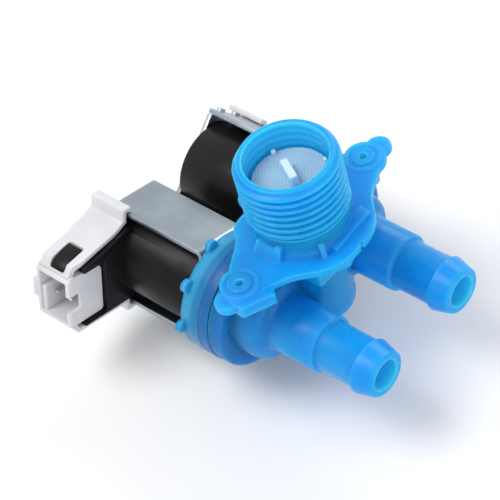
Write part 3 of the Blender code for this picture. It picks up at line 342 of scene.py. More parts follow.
TIN = plated("tinned_pin", (0.62, 0.60, 0.54), (0.78, 0.76, 0.70), 0.22, (0.3, 1.0, 1.0), 0.3)
COPPER = plated("winding_copper", (0.50, 0.20, 0.09), (0.70, 0.32, 0.16), 0.3, (3.0, 0.1, 0.1), 0.1)


# Mesh helpers, in millimetres until a piece becomes an object

def to_object(name, work):
    """A bmesh in millimetres as an object in metres."""
    bmesh.ops.remove_doubles(work, verts=work.verts, dist=0.0005)
    bmesh.ops.recalc_face_normals(work, faces=work.faces)
    bmesh.ops.scale(work, vec=(MM, MM, MM), verts=work.verts)
    mesh = bpy.data.meshes.new(name)
    work.to_mesh(mesh)
    work.free()
    obj = bpy.data.objects.new(name, mesh)
    bpy.context.scene.collection.objects.link(obj)
    return obj


def laid(u, v, h, along):
    """A point from two places across an axis and one along it."""
    return {"X": (h, u, v), "Y": (u, h, v), "Z": (u, v, h)}[along]


def lathe(name, profile, along="X", centre=(0, 0, 0), steps=96, closed=False):
    """A turned solid from (radius, place along the axis) points. A closed profile gives a ring."""
    work = bmesh.new()
    count = len(profile)
    rings = []
    for r, h in profile:
        ring = []
        for i in range(1 if r == 0 else steps):
            a = 2 * pi * i / steps
            ring.append(work.verts.new(Vector(laid(r * cos(a), r * sin(a), h, along)) + Vector(centre)))
        rings.append(ring)
    for k in range(count if closed else count - 1):
        first, second = rings[k], rings[(k + 1) % count]
        if len(first) == 1 and len(second) == 1:
            continue
        for i in range(steps):
            j = (i + 1) % steps
            if len(first) == 1:
                work.faces.new((first[0], second[i], second[j]))
            elif len(second) == 1:
                work.faces.new((first[i], second[0], first[j]))
            else:
                work.faces.new((first[i], second[i], second[j], first[j]))
    return to_object(name, work)


def slab(name, outline, low, high, along="Z"):
    """A prism from an outline across an axis."""
    work = bmesh.new()
    caps = []
    for h in (low, high):
        ring = [work.verts.new(laid(u, v, h, along)) for u, v in outline]
        caps.append(ring)
        work.faces.new(ring)
    for i in range(len(outline)):
        j = (i + 1) % len(outline)
        work.faces.new((caps[0][i], caps[0][j], caps[1][j], caps[1][i]))
    return to_object(name, work)


def block(name, low, high, bevel=0.0):
    """A box, with rounded edges if a bevel is given."""
    work = bmesh.new()
    bmesh.ops.create_cube(work, size=1)
    low, high = Vector(low), Vector(high)
    place = Matrix.Translation((low + high) / 2) @ Matrix.Diagonal((*(high - low), 1))
    bmesh.ops.transform(work, matrix=place, verts=work.verts)
    if bevel:
        bmesh.ops.bevel(work, geom=work.edges[:], offset=bevel, segments=3, profile=0.5, affect="EDGES")
    return to_object(name, work)


def wedge(name, profile, start, end, steps=6):
    """A closed sector of a ring turned about X, angles in degrees."""
    work = bmesh.new()
    sections = []
    for i in range(steps + 1):
        a = radians(start + (end - start) * i / steps)
        sections.append([work.verts.new(laid(r * cos(a), r * sin(a), h, "X")) for r, h in profile])
    for first, second in zip(sections, sections[1:]):
        for k in range(len(profile)):
            m = (k + 1) % len(profile)
            work.faces.new((first[k], first[m], second[m], second[k]))
    for cap in (sections[0], sections[-1]):
        work.faces.new(cap)
    return to_object(name, work)


def bent_strip(name, path, width, thickness, centre_x, rounding):
    """A strip whose path is bent across X, thickened to the left of its path and rounded."""
    points = [Vector((0, u, v)) for u, v in path]
    offsets = []
    for i, point in enumerate(points):
        before = (point - points[i - 1]).normalized() if i else None
        after = (points[i + 1] - point).normalized() if i < len(points) - 1 else None
        way = (before or after) + (after or before)
        way.normalize()
        side = Vector((0, -way.z, way.y))
        stretch = 1 / max(0.35, way.dot(after or before))
        offsets.append(point + side * thickness * stretch)
    outline = [(p.y, p.z) for p in points] + [(p.y, p.z) for p in reversed(offsets)]
    half = width / 2
    obj = slab(name, outline, centre_x - half, centre_x + half, "X")
    soften(obj, rounding)
    return obj


def soften(obj, width, segments=3, angle=30):
    """Rounds an object's sharp edges for good."""
    bevel = obj.modifiers.new("soften", "BEVEL")
    bevel.width = width * MM
    bevel.segments = segments
    bevel.limit_method = "ANGLE"
    bevel.angle_limit = radians(angle)
    bevel.use_clamp_overlap = True
    bake(obj)


def bake(obj):
    """Applies an object's modifiers."""
    depsgraph = bpy.context.evaluated_depsgraph_get()
    mesh = bpy.data.meshes.new_from_object(obj.evaluated_get(depsgraph))
    obj.modifiers.clear()
    obj.data = mesh


def combine(base, additions=(), cuts=(), late=()):
    """Unites and cuts with exact Booleans, adds what comes late, and removes the helpers."""
    steps = [(helper, "UNION") for helper in additions]
    steps += [(helper, "DIFFERENCE") for helper in cuts]
    steps += [(helper, "UNION") for helper in late]
    for helper, operation in steps:
        modifier = base.modifiers.new(helper.name, "BOOLEAN")
        modifier.operation = operation
        modifier.solver = "EXACT"
        modifier.object = helper
    bake(base)
    for helper, _ in steps:
        bpy.data.objects.remove(helper, do_unlink=True)
    return base


def paint(obj, mat, angle=32):
    """Gives a piece its one material and smooth shading up to an angle in degrees."""
    obj.data.materials.clear()
    obj.data.materials.append(mat)
    obj.data.shade_smooth()
    obj.data.set_sharp_from_angle(angle=radians(angle))


def finish_piece(obj, mat, body, replaced, angle=32):
    """Paints a finished piece and attaches it in place of a CAD node."""
    paint(obj, mat, angle)
    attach(obj, body)
    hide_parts(replaced)


def turn_into_place(obj, side, angle=0.0):
    """Moves a piece made about a solenoid's own axis to its valve."""
    place = Matrix.Translation((0, side * HALF_PITCH * MM, AXIS_Z * MM)) @ Matrix.Rotation(angle, 4, "X")
    obj.data.transform(place)


def arc(cx, cy, radius, start, end, count):
    """Points on an arc, angles in degrees."""
    steps = [radians(start + (end - start) * i / count) for i in range(count + 1)]
    return [(cx + radius * cos(a), cy + radius * sin(a)) for a in steps]


# Geometry Nodes

class Tree:
    """A geometry tree with named inputs."""

    def __init__(self, name):
        self.tree = bpy.data.node_groups.new(name, "GeometryNodeTree")
        self.tree.interface.new_socket("Geometry", in_out="OUTPUT", socket_type="NodeSocketGeometry")
        self.source = self.tree.nodes.new("NodeGroupInput")
        self.values = {}

    def number(self, name, value, kind="NodeSocketFloat"):
        """A named input."""
        self.tree.interface.new_socket(name, in_out="INPUT", socket_type=kind)
        self.values[name] = value
        return self.source.outputs[name]

    def add(self, kind, **inputs):
        """A node, with links or values by input name or _number, and properties in lower case."""
        prefix = "" if kind.startswith(("Shader", "Function")) else "GeometryNode"
        item = self.tree.nodes.new(prefix + kind)
        for key, value in inputs.items():
            if hasattr(item, key) and not isinstance(value, bpy.types.NodeSocket):
                setattr(item, key, value)
                continue
            socket = item.inputs[int(key[1:])] if key[0] == "_" else item.inputs[key.replace("_", " ")]
            if isinstance(value, bpy.types.NodeSocket):
                self.tree.links.new(value, socket)
            else:
                socket.default_value = value
        return item

    def math(self, operation, first, second=0.0):
        """A sum on fields."""
        return self.add("ShaderNodeMath", operation=operation, _0=first, _1=second).outputs[0]

    def build(self, name, geometry, mat):
        """Ends the tree, runs it and returns a plain mesh object."""
        realized = self.add("RealizeInstances", Geometry=geometry)
        painted = self.add("SetMaterial", Geometry=realized.outputs[0])
        painted.inputs["Material"].default_value = mat
        out = self.tree.nodes.new("NodeGroupOutput")
        self.tree.links.new(painted.outputs[0], out.inputs["Geometry"])
        obj = bpy.data.objects.new(name, bpy.data.meshes.new(name))
        modifier = obj.modifiers.new("shape", "NODES")
        modifier.node_group = self.tree
        for item in self.tree.interface.items_tree:
            if item.in_out == "INPUT" and item.name in self.values:
                modifier[item.identifier] = self.values[item.name]
        bpy.context.scene.collection.objects.link(obj)
        bake(obj)
        return obj


def threaded_neck():
    """Outer skin of the neck: a grid rolled into a tube whose radius follows a helix."""
    t = Tree("helical_thread")
    top = t.number("Top", 22.4 * MM)
    bottom = t.number("Bottom", 4.6 * MM)
    pitch = t.number("Pitch", THREAD_PITCH * MM)
    root = t.number("Root radius", NECK_ROOT * MM)
    depth = t.number("Depth", 1.2 * MM)
    around = t.number("Steps around", 121, "NodeSocketInt")
    along = t.number("Steps along", 145, "NodeSocketInt")
    run_in = t.number("Run in", 1.6)
    run_out = t.number("Run out", 1.2)
    grid = t.add("MeshGrid", Size_X=1.0, Size_Y=1.0, Vertices_X=around, Vertices_Y=along)
    where = t.add("ShaderNodeSeparateXYZ", Vector=t.add("InputPosition").outputs[0])
    turn = t.math("ADD", where.outputs["X"], 0.5)
    share = t.math("ADD", where.outputs["Y"], 0.5)
    height = t.math("ADD", t.math("MULTIPLY", share, t.math("SUBTRACT", top, bottom)), bottom)
    passed = t.math("DIVIDE", t.math("SUBTRACT", top, height), pitch)
    phase = t.math("FRACT", t.math("ADD", passed, turn))
    from_crest = t.math("ABSOLUTE", t.math("SUBTRACT", phase, 0.5))
    ridge = t.add("ShaderNodeMapRange", Value=from_crest, interpolation_type="SMOOTHSTEP")
    for key, value in (("From Min", 0.15), ("From Max", 0.42), ("To Min", 1.0), ("To Max", 0.0)):
        ridge.inputs[key].default_value = value
    left = t.math("DIVIDE", t.math("SUBTRACT", height, bottom), pitch)
    ends = t.math("MINIMUM", t.math("MULTIPLY", passed, run_in), t.math("MULTIPLY", left, run_out))
    fade = t.math("MINIMUM", ends, 1.0)
    lift = t.math("MULTIPLY", t.math("MULTIPLY", ridge.outputs["Result"], depth), fade)
    radius = t.math("ADD", root, lift)
    angle = t.math("MULTIPLY", turn, 2 * pi)
    place = t.add(
        "ShaderNodeCombineXYZ",
        X=t.math("MULTIPLY", radius, t.math("COSINE", angle)),
        Y=t.math("MULTIPLY", radius, t.math("SINE", angle)),
        Z=height,
    )
    rolled = t.add("SetPosition", Geometry=grid.outputs["Mesh"], Position=place.outputs[0])
    welded = t.add("MergeByDistance", Geometry=rolled.outputs[0], Distance=0.00001)
    return t.build("threaded_neck", welded.outputs[0], BLUE)


def woven_disc(name, height, radius, spacing, wire):
    """A woven strainer disc: two sets of wires that weave over and under, each ending at the rim."""
    t = Tree("woven_disc")
    reach = t.number("Radius", radius * MM)
    pitch = t.number("Spacing", spacing * MM)
    thick = t.number("Wire radius", wire * MM)
    level = t.number("Height", height * MM)
    count = int(2 * radius / spacing)
    sets = []
    for turned, sign in ((0.0, 1.0), (pi / 2, -1.0)):
        line = t.add("CurvePrimitiveLine", mode="POINTS", Start=(-1, 0, 0), End=(1, 0, 0))
        fine = t.add("ResampleCurve", Curve=line.outputs[0], Count=count * 2 + 1)
        rows = t.add("MeshLine", Count=count + 1, Offset=(0, 1, 0))
        placed = t.add("InstanceOnPoints", Points=rows.outputs[0], Instance=fine.outputs[0])
        flat = t.add("RealizeInstances", Geometry=placed.outputs[0])
        spot = t.add("ShaderNodeSeparateXYZ", Vector=t.add("InputPosition").outputs[0])
        row = t.math("SUBTRACT", spot.outputs["Y"], count / 2)
        y = t.math("MULTIPLY", row, pitch)
        square = t.math("SUBTRACT", t.math("MULTIPLY", reach, reach), t.math("MULTIPLY", y, y))
        half = t.math("SQRT", t.math("MAXIMUM", square, 0.0))
        x = t.math("MULTIPLY", spot.outputs["X"], half)
        beat = t.math("ADD", t.math("DIVIDE", x, pitch), spot.outputs["Y"])
        wave = t.math("MULTIPLY", t.math("COSINE", t.math("MULTIPLY", beat, pi)), thick)
        z = t.math("ADD", level, t.math("MULTIPLY", wave, sign))
        spot = t.add("ShaderNodeCombineXYZ", X=x, Y=y, Z=z)
        moved = t.add("SetPosition", Geometry=flat.outputs[0], Position=spot.outputs[0])
        turn = t.add("Transform", Geometry=moved.outputs[0], Rotation=(0, 0, turned))
        section = t.add("CurvePrimitiveCircle", Resolution=5, Radius=thick)
        body = t.add("CurveToMesh", Curve=turn.outputs[0], Profile_Curve=section.outputs[0])
        sets.append(body.outputs[0])
    joined = t.add("JoinGeometry")
    for item in sets:
        t.tree.links.new(item, joined.inputs[0])
    return t.build(name, joined.outputs[0], WEAVE)


def wire_spring(name, start, end, radius, wire, turns):
    """A spring wound about X."""
    t = Tree("wire_spring")
    span = t.number("Length", (start - end) * MM)
    across = t.number("Radius", radius * MM)
    thick = t.number("Wire radius", wire / 2 * MM)
    rounds = t.number("Turns", float(turns))
    coil = t.add(
        "CurveSpiral", Resolution=28, Rotations=rounds, Start_Radius=across, End_Radius=across, Height=span)
    section = t.add("CurvePrimitiveCircle", Resolution=10, Radius=thick)
    body = t.add("CurveToMesh", Curve=coil.outputs[0], Profile_Curve=section.outputs[0], Fill_Caps=True)
    along_x = t.add(
        "Transform", Geometry=body.outputs[0], Rotation=(0, pi / 2, 0), Translation=(end * MM, 0, 0))
    return t.build(name, along_x.outputs[0], STEEL)


def edge_tabs(name, side, count=3):
    """Round tabs along a bonnet's edge."""
    t = Tree("edge_tabs")
    radius = t.number("Tab radius", 1.8 * MM)
    thick = t.number("Thickness", 1.5 * MM)
    reach = t.number("Reach", 17.05 * MM)
    level = t.number("Place along X", -18.23 * MM)
    number = t.number("Count", count, "NodeSocketInt")
    step = t.number("Step angle", radians(40))
    first = t.number("First angle", radians(2))
    row = t.add("MeshLine", Count=number, Offset=(0, 0, 0))
    angle = t.math("ADD", t.math("MULTIPLY", t.add("InputIndex").outputs[0], step), first)
    spot = t.add(
        "ShaderNodeCombineXYZ",
        X=level,
        Y=t.math("MULTIPLY", t.math("MULTIPLY", t.math("SINE", angle), reach), float(side)),
        Z=t.math("MULTIPLY", t.math("COSINE", angle), reach),
    )
    points = t.add("SetPosition", Geometry=row.outputs[0], Position=spot.outputs[0])
    disc = t.add("MeshCylinder", Vertices=28, Radius=radius, Depth=thick)
    tab = t.add("Transform", Geometry=disc.outputs[0], Rotation=(0, pi / 2, 0))
    placed = t.add("InstanceOnPoints", Points=points.outputs[0], Instance=tab.outputs[0])
    return t.build(name + "_edge_tabs", placed.outputs[0], TEAL)


# Valve body

def waisted(start, end, shape):
    """Points between two corners, given as shares of the way in x and in y."""
    return [(start[0] + (end[0] - start[0]) * x, start[1] + (end[1] - start[1]) * y) for x, y in shape]


def eased(points, times=2, cut=0.15):
    """A closed outline with its corners cut a little, again and again."""
    for _ in range(times):
        shorter = []
        for (x0, y0), (x1, y1) in zip(points, points[1:] + points[:1]):
            for here, there in ((1 - cut, cut), (cut, 1 - cut)):
                shorter.append((x0 * here + x1 * there, y0 * here + y1 * there))
        points = shorter
    return points


def flange_outline():
    """The screw flange seen from above: two waisted tips and a blunt point at each long side."""
    waist = [(0, 0), (0.07, 0.16), (0.22, 0.32), (0.73, 0.6), (0.955, 0.89)]
    half = waisted((18.0, 3.6), (6.0, BOSS_REACH), waist)
    half += arc(0.6, BOSS_REACH, 5.4, -5, 188, 24)
    half += waisted((-14.3, 8.5), (-4.8, BOSS_REACH), [(0.48, 0.37), (0.12, 0.2), (0, 0)])
    return eased(half + [(x, -y) for x, y in reversed(half)])


def outlet_profile():
    """Hose tail, chamber and rim, from the outlet's end back."""
    nose = arc(33.7, 5.5, 0.8, 0, 90, 5)
    points = [(0, 34.5)] + [(r, h) for h, r in nose]
    points += [(7.39, 29.5), (7.39, 29.1), (7.3, 29.0), (6.75, 28.75), (6.65, 28.5)]
    points += [(6.66, 17.3), (6.9, 17.0), (7.5, 16.85), (7.74, 16.5)]
    points += [(7.78, 4.0), (8.0, 3.0), (8.6, 2.3), (9.4, 2.0)]
    points += [(10.4, 1.6), (11.2, 0.8), (11.7, -0.4), (11.9, -1.6)]
    points += [(11.9, -5.2), (12.2, -5.6), (15.7, -5.6), (16.15, -5.8), (16.3, -6.2), (16.3, -9.5), (0, -9.5)]
    return points


def neck_skin():
    """The threaded skin closed to a solid."""
    skin = threaded_neck()
    work = bmesh.new()
    work.from_mesh(skin.data)
    bmesh.ops.holes_fill(work, edges=[e for e in work.edges if e.is_boundary])
    bmesh.ops.recalc_face_normals(work, faces=work.faces)
    work.to_mesh(skin.data)
    work.free()
    return skin


def gusset(name, degrees, reach, foot=-0.7, height=3.0, half=0.7):
    """A thin fin between the foot of the neck and the flange."""
    outline = [(11.8, foot), (reach, foot), (reach - 0.3, -0.2), (13.2, height), (11.8, height)]
    fin = slab(name, outline, -half, half, "X")
    soften(fin, 0.18)
    fin.data.transform(Matrix.Rotation(radians(degrees - 90), 4, "Z"))
    return fin


def flange_pieces():
    """The flange with its ear, edge rib, raised pad, buttress, fins and the pocket under it."""
    ear = [(-7.9, 3.0)] + arc(-17.3, -2.0, 2.0, 110, 250, 14) + [(-7.9, -7.0)]
    edge_rib = [(-1.0, -BOSS_REACH), (-1.0, -29.75), (5.6, -30.0), (9.6, -21.9), (6.0, -19.1)]
    pad = [(11.4, -3.8), (14.5, -3.9), (13.8, 10.1), (10.4, 10.6)]
    buttress = [(-11.6, 2.0), (-12.9, 2.0), (-14.7, -0.7), (-11.6, -0.7)]
    pieces = []
    for name, outline, low, high, along, rounding in (
        ("plate", flange_outline(), -2.5, -0.5, "Z", 0.28),
        ("ear", ear, -2.3, -0.6, "Z", 0.3),
        ("edge_rib", edge_rib, -4.1, -0.6, "Z", 0.3),
        ("pad", pad, -0.7, 0.5, "Z", 0.2),
        ("buttress", buttress, -3.7, 3.6, "X", 0.2),
    ):
        piece = slab(name, outline, low, high, along)
        soften(piece, rounding)
        pieces.append(piece)
    pocket = block("pocket", (7.4, -10.4, -8.0), (13.1, -4.4, -2.0), 0.3)
    combine(pocket, cuts=[block("pocket_room", (8.6, -9.2, -9.0), (11.9, -5.6, -3.2))])
    lobe = [(0, -7.6), (2.6, -7.6), (3.0, -7.2), (3.0, -2.0), (0, -2.0)]
    pieces += [pocket, lathe("lobe", lobe, "Z", (12.4, -1.6, 0), 48)]
    return pieces + [gusset("gusset_front", -75, 14.9), gusset("gusset_side", -27, 15.1)]


def outlet_side(name, side):
    """One valve's chamber and hose tail with its boss, lug, collar and rib, and what is cut out of them."""
    centre = (0, side * HALF_PITCH, AXIS_Z)
    tip = (0, side * BOSS_REACH, 0)
    lug = [
        (0, -0.7), (2.9, -0.7), (3.25, -0.85), (3.4, -1.2), (3.4, -2.5), (3.2, -2.8), (2.9, -2.9), (0, -2.9)]
    collar = [(5.0, -0.3), (4.85, -0.12), (4.0, -0.12), (3.9, -0.25), (3.9, -2.0), (5.0, -2.0)]
    boss = [(0, 0.0), (2.85, 0.0), (3.0, -0.12), (3.0, -9.0), (0, -9.0)]
    near, far = side * 7.8, side * BOSS_REACH
    rib = [(near, -2.1), (far, -2.1), (far, -8.4), (near, -11.1)]
    parts = [
        lathe(name + "_outlet", outlet_profile(), "X", centre),
        lathe(name + "_lug", lug, "Z", (0.6, side * 29.4, 0), 48),
        lathe(name + "_collar", collar, "Z", tip, 64, True),
        lathe(name + "_boss", boss, "Z", tip, 64),
        slab(name + "_rib", rib if side > 0 else rib[::-1], -0.9, 0.9, "X"),
    ]
    groove = [(3.85, 1), (3.85, -0.5), (3.1, -0.5), (3.1, 1)]
    chamber = [
        (0, -7.2), (5.5, -7.2), (5.5, -1.0), (10.0, -1.0), (10.0, -8.1), (13.4, -8.1), (13.4, -12), (0, -12)]
    bore = [(0, 36), (5.9, 36), (OUTLET_BORE, 34.2), (OUTLET_BORE, -8.5), (0, -8.5)]
    pilot = [(0, 1), (1.35, 1), (1.35, 0.1), (PILOT_HOLE, -0.15), (PILOT_HOLE, -7.5), (0, -7.5)]
    cuts = [
        lathe(name + "_groove", groove, "Z", tip, 64, True),
        lathe(name + "_chamber", chamber, "X", centre),
        lathe(name + "_bore", bore, "X", centre, 64),
        lathe(name + "_pilot", pilot, "Z", tip, 32),
    ]
    return parts, cuts


def make_body():
    """The translucent body with its helical thread."""
    skin = neck_skin()
    column = lathe("column", [
        (0, 4.9), (NECK_ROOT, 4.9), (NECK_ROOT, 1.7), (12.4, 1.1), (12.8, 0.3), (13.1, -0.1), (13.1, -3.1),
        (12.4, -3.9), (8.8, -3.9), (8.8, BASE_LOW + 4.4), (8.3, BASE_LOW + 2.6), (7.0, BASE_LOW + 1.1),
        (5.0, BASE_LOW + 0.2), (3.6, BASE_LOW), (0, BASE_LOW)], "Z")
    rim = lathe("rim", [
        (0, 22.7), (11.9, 22.7), (12.1, 22.6), (NECK_ROOT, 22.4), (NECK_ROOT, 22.2), (0, 22.2)], "Z")
    parts = [column, rim] + flange_pieces()
    cuts = [block("edge_notch", (17.1, 0.7, -4), (19, 2.1, 1), 0.1)]
    for name, side, _ in SIDES:
        side_parts, side_cuts = outlet_side(name, side)
        parts += side_parts
        cuts += side_cuts
    floor = BASE_LOW + BASE_WALL
    inlet = lathe("inlet", [
        (0, 24), (12.2, 24), (10.9, 22.7), (NECK_BORE, 22.5), (NECK_BORE, 1.0), (7.0, 1.0),
        (7.0, floor + 1.5), (5.5, floor), (0, floor)], "Z")
    room = block("room_for_bonnets", (-40, -40, AXIS_Z - 40), (-9.5, 40, AXIS_Z + 17.1))
    body = combine(skin, parts, [room, inlet] + cuts)
    body.name = "blue_valve_body"
    finish_piece(body, BLUE, "valve", "valve_body", angle=38)


# Bonnets

def make_bonnet(name, side):
    """Teal bonnet with its guide tube and edge tabs, flat where it meets the other one."""
    bonnet = lathe(name + "_teal_bonnet", [
        (0, -50.7), (3.9, -50.7), (3.9, -43.3), (5.0, -43.3), (5.0, -14.2), (10.5, -14.2), (10.5, -9.8),
        (16.2, -9.8), (16.5, -9.95), (16.6, -10.3), (16.6, -12.2), (16.45, -12.4), (16.45, -12.9),
        (16.6, -13.1), (16.6, -18.4), (16.4, -18.85), (16.1, -19.0), (14.4, -19.0), (14.4, -16.6),
        (9.6, -16.6), (9.6, -19.0), (5.8, -19.0), (5.8, -51.7), (5.2, -52.3), (0, -52.3)], "X")
    tabs = edge_tabs(name, side)
    soften(tabs, 0.25)
    flat = HALF_PITCH - 0.15
    low, high = sorted((-side * flat, -side * 40))
    neighbour = block(name + "_neighbour", (-19.5, low, -40), (-9, high, 40))
    combine(bonnet, [tabs], [neighbour])
    turn_into_place(bonnet, side)
    finish_piece(bonnet, TEAL, "valve", name + "_bonnet")


# Diaphragms

def make_diaphragm(name, side):
    """Rubber diaphragm: a centre that lifts with its insert, and a fold made of sectors."""
    centre = lathe(name + "_rubber_centre", [
        (FOLD_END, -8.8), (2.7, -8.8), (2.7, -7.5), (6.6, -7.5), (FOLD_END, -7.6)], "X", closed=True)
    turn_into_place(centre, side)
    finish_piece(centre, RUBBER, name + "_insert", name + "_diaphragm")
    profile = [
        (13.1, -8.4), (13.1, -9.5), (10.4, -9.5), (9.8, -9.45), (9.2, -9.3), (8.7, -8.95), (8.3, -8.65),
        (7.7, -8.7), (FOLD_END, -8.8), (FOLD_END, -7.6), (7.7, -7.65), (8.3, -7.8), (8.8, -8.05),
        (9.2, -8.3), (9.8, -8.4)]
    step = 360 / FOLD_SECTORS
    for i in range(FOLD_SECTORS):
        middle = step * i
        sector = wedge(name + "_rubber_fold_" + str(i), profile, middle - step / 2, middle + step / 2)
        turn_into_place(sector, side)
        paint(sector, RUBBER)
        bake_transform(sector)
        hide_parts(name + "_diaphragm")


# Connectors

def pin_rooms(name):
    """Boxes that leave room for the two contact pins."""
    rooms = []
    for i, x in enumerate(PIN_OFFSETS):
        low, high = (CENTRE_X + x - 0.9, 13.9, 3.5), (CENTRE_X + x + 0.9, 27.0, 4.9)
        rooms.append(block(name + "_pin_room_" + str(i), low, high))
    return rooms


def strap_trims(name, low_x, high_x):
    """What narrows the upper strap towards the mouth, on both of its edges."""
    trims = []
    for i, (edge, way, start, slope, full) in enumerate((
        (high_x, 1, 22.0, 24.6, 28.2),
        (low_x, -1, 16.0, 17.4, 18.6),
    )):
        outside, shallow, deep = edge + way, edge - way * 0.1, edge - way * 0.9
        outline = [(outside, start), (outside, 32), (deep, 32)]
        outline += [(deep, full), (shallow, slope), (shallow, start)]
        trims.append(slab(name + "_strap_trim_" + str(i), outline, -12, -5.2))
    return trims


def make_connector(name, side, angle):
    """White clip-on connector: shroud, two bent straps, window and coding ribs."""
    low_x, high_x = CENTRE_X - SHROUD_HALF, CENTRE_X + SHROUD_HALF
    outline = [(MOUTH, -4.8), (MOUTH, 10.3)]
    outline += arc(BACK + 1.2, 9.1, 1.2, 90, 180, 4)
    outline += arc(BACK + 2.4, -2.4, 2.4, 180, 270, 8)
    shroud = slab(name + "_white_connector", outline, low_x, high_x, "X")
    soften(shroud, 0.5)
    strap_a = bent_strip(name + "_strap_a", [
        (6.55, -16.2), (9.45, -16.2), (9.65, -12.8), (11.6, -11.8), (14.0, -10.9), (19.0, -9.8), (27.6, -7.8),
        (29.3, -4.9)], STRAP_WIDTH, STRAP_SHEET, CENTRE_X, 0.3)
    strap_b = bent_strip(name + "_strap_b", [
        (28.8, 10.9), (27.4, 13.1), (9.85, 13.3), (9.45, 16.2), (6.55, 16.2)],
        STRAP_WIDTH, STRAP_SHEET, CENTRE_X, 0.25)
    combine(strap_a, cuts=strap_trims(name, low_x, high_x))
    outer_rib, inner_rib, cavity, side_slot, window = [
        block(name + "_" + tag, low, high, rounding) for tag, low, high, rounding in (
            ("outer_rib", (low_x - 1.8, MOUTH - 6, 0.2), (low_x + 0.4, MOUTH - 0.1, 5.8), 0.5),
            ("inner_rib", (low_x + 0.8, BACK + 0.6, 1.4), (low_x + 2.6, MOUTH - 0.6, 9.7), 0.4),
            ("cavity", (low_x + 1.2, BACK + 1.2, -3.6), (high_x - 1.2, MOUTH + 2, 9.1), 0.35),
            ("side_slot", (high_x - 2.4, MOUTH - 4.2, 0.4), (high_x + 1, MOUTH + 2, 5.6), 0.3),
            ("window", (WINDOW_X - WINDOW_HALF, WINDOW_LOW, -11.8),
             (WINDOW_X + WINDOW_HALF, WINDOW_HIGH, -4.8), 0.6),
        )]
    combine(shroud, [strap_a, strap_b, outer_rib], [cavity, side_slot, window], [inner_rib])
    combine(shroud, cuts=pin_rooms(name))
    turn_into_place(shroud, side, angle)
    finish_piece(shroud, WHITE, "valve", name + "_connector")


# Yokes

def yoke_path(inset):
    """The bent sheet's path, up one leg, across and up the other, at a depth into the sheet."""
    path = [(YOKE_FAR + inset, YOKE_TOP)]
    path += arc(YOKE_FAR + YOKE_BEND, BEND_CENTRE, YOKE_BEND - inset, 180, 270, 8)
    path += arc(YOKE_NEAR - YOKE_BEND, BEND_CENTRE, YOKE_BEND - inset, 270, 360, 8)
    return path + [(YOKE_NEAR - inset, YOKE_TOP)]


def make_yoke(name, side, angle):
    """Bent zinc yoke and the plate that is staked to it, with rounded sheet edges."""
    outline = yoke_path(0) + yoke_path(YOKE_SHEET)[::-1]
    yoke = slab(name + "_zinc_yoke", outline, -YOKE_HALF, YOKE_HALF, "Y")
    plate = block(name + "_zinc_plate", (YOKE_FAR, -YOKE_HALF, 13.25), (YOKE_NEAR, YOKE_HALF, 14.5))
    slots, stakes = [], []
    for end, inwards in ((YOKE_FAR, 1), (YOKE_NEAR, -1)):
        x_low, x_high = sorted((end + inwards * 0.1, end + inwards * 1.15))
        for place in (-3.5, 3.5):
            tag = "_".join((name, str(int(end)), str(int(place))))
            stake = (x_low, place - 1.2, 11.95), (x_high, place + 1.2, 15.3)
            slot = (x_low - 0.3, place - 1.5, 12.2), (x_high + 0.3, place + 1.5, 15.6)
            stakes.append(block(tag + "_stake", *stake, 0.12))
            slots.append(block(tag + "_slot", *slot))
    holes = []
    for i, end in enumerate((YOKE_NEAR, YOKE_FAR)):
        hole = [(0, end + 3.0), (TUBE_HOLE, end + 3.0), (TUBE_HOLE, end - 3.0), (0, end - 3.0)]
        holes.append(lathe(name + "_hole_" + str(i), hole, "X"))
    combine(yoke, stakes, holes)
    combine(plate, cuts=slots)
    for obj, node_name in ((yoke, "_yoke_frame"), (plate, "_yoke_side_plate")):
        soften(obj, 0.12, 2)
        turn_into_place(obj, side, angle)
        finish_piece(obj, ZINC, "valve", name + node_name)


# Coils

def make_coil(name, side, angle):
    """Black moulded coil housing with rounded ends, its terminal block, catch and contact pins."""
    housing = lathe(name + "_black_coil", [
        (0, -20.85), (11.8, -20.85), (12.2, -20.95), (12.4, -21.3), (12.4, -50.6), (12.2, -50.95),
        (11.8, -51.05), (0, -51.05)], "X", steps=144)
    terminal = slab(name + "_terminal_block", [
        (8.05, -11.0), (10.05, -10.6), (17.7, -8.1), (25.0, -6.6), (25.0, -5.1), (17.7, -5.1), (17.7, 10.6),
        (25.6, 10.6), (25.6, 11.4), (8.05, 11.4)], CENTRE_X - 5.8, CENTRE_X + 7.0, "X")
    soften(terminal, 0.25)
    catch = slab(name + "_catch", [
        (21.4, -5.1), (21.4, -8.9), (21.9, -9.25), (23.4, -9.0), (25.0, -8.5), (26.6, -7.8), (27.8, -7.0),
        (28.5, -6.2), (28.5, -5.1)], WINDOW_X - CATCH_HALF, WINDOW_X + CATCH_HALF, "X")
    soften(catch, 0.2)
    hollow = [(0, -19.8), (11.0, -19.8), (11.0, -49.75), (0, -49.75)]
    room = lathe(name + "_coil_room", hollow, "X", steps=144)
    combine(housing, [terminal, catch], [room] + pin_rooms(name))
    turn_into_place(housing, side, angle)
    finish_piece(housing, BLACK, "valve", name + "_coil_housing")
    for i, x in enumerate(PIN_OFFSETS):
        low = (CENTRE_X + x - 0.6, 14.2, 3.8)
        pin = block(name + "_tinned_pin_" + str(i + 1), low, (low[0] + 1.2, 26.7, 4.6), 0.18)
        turn_into_place(pin, side, angle)
        finish_piece(pin, TIN, "valve", name + "_terminal_" + str(i + 1))


# Springs

def make_spring(name, side):
    """Steel spring behind the armature, wound at one fixed length."""
    spring = wire_spring(name + "_wire_spring", SPRING_START, SPRING_END, 2.9, 0.5, 5)
    turn_into_place(spring, side)
    finish_piece(spring, STEEL, "valve", name + "_armature_spring")
    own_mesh(spring)


# Filter

def turned_block(name, low, high, bevel, degrees):
    """A block turned about the inlet's axis."""
    obj = block(name, low, high, bevel)
    obj.data.transform(Matrix.Rotation(radians(degrees), 4, "Z"))
    return obj


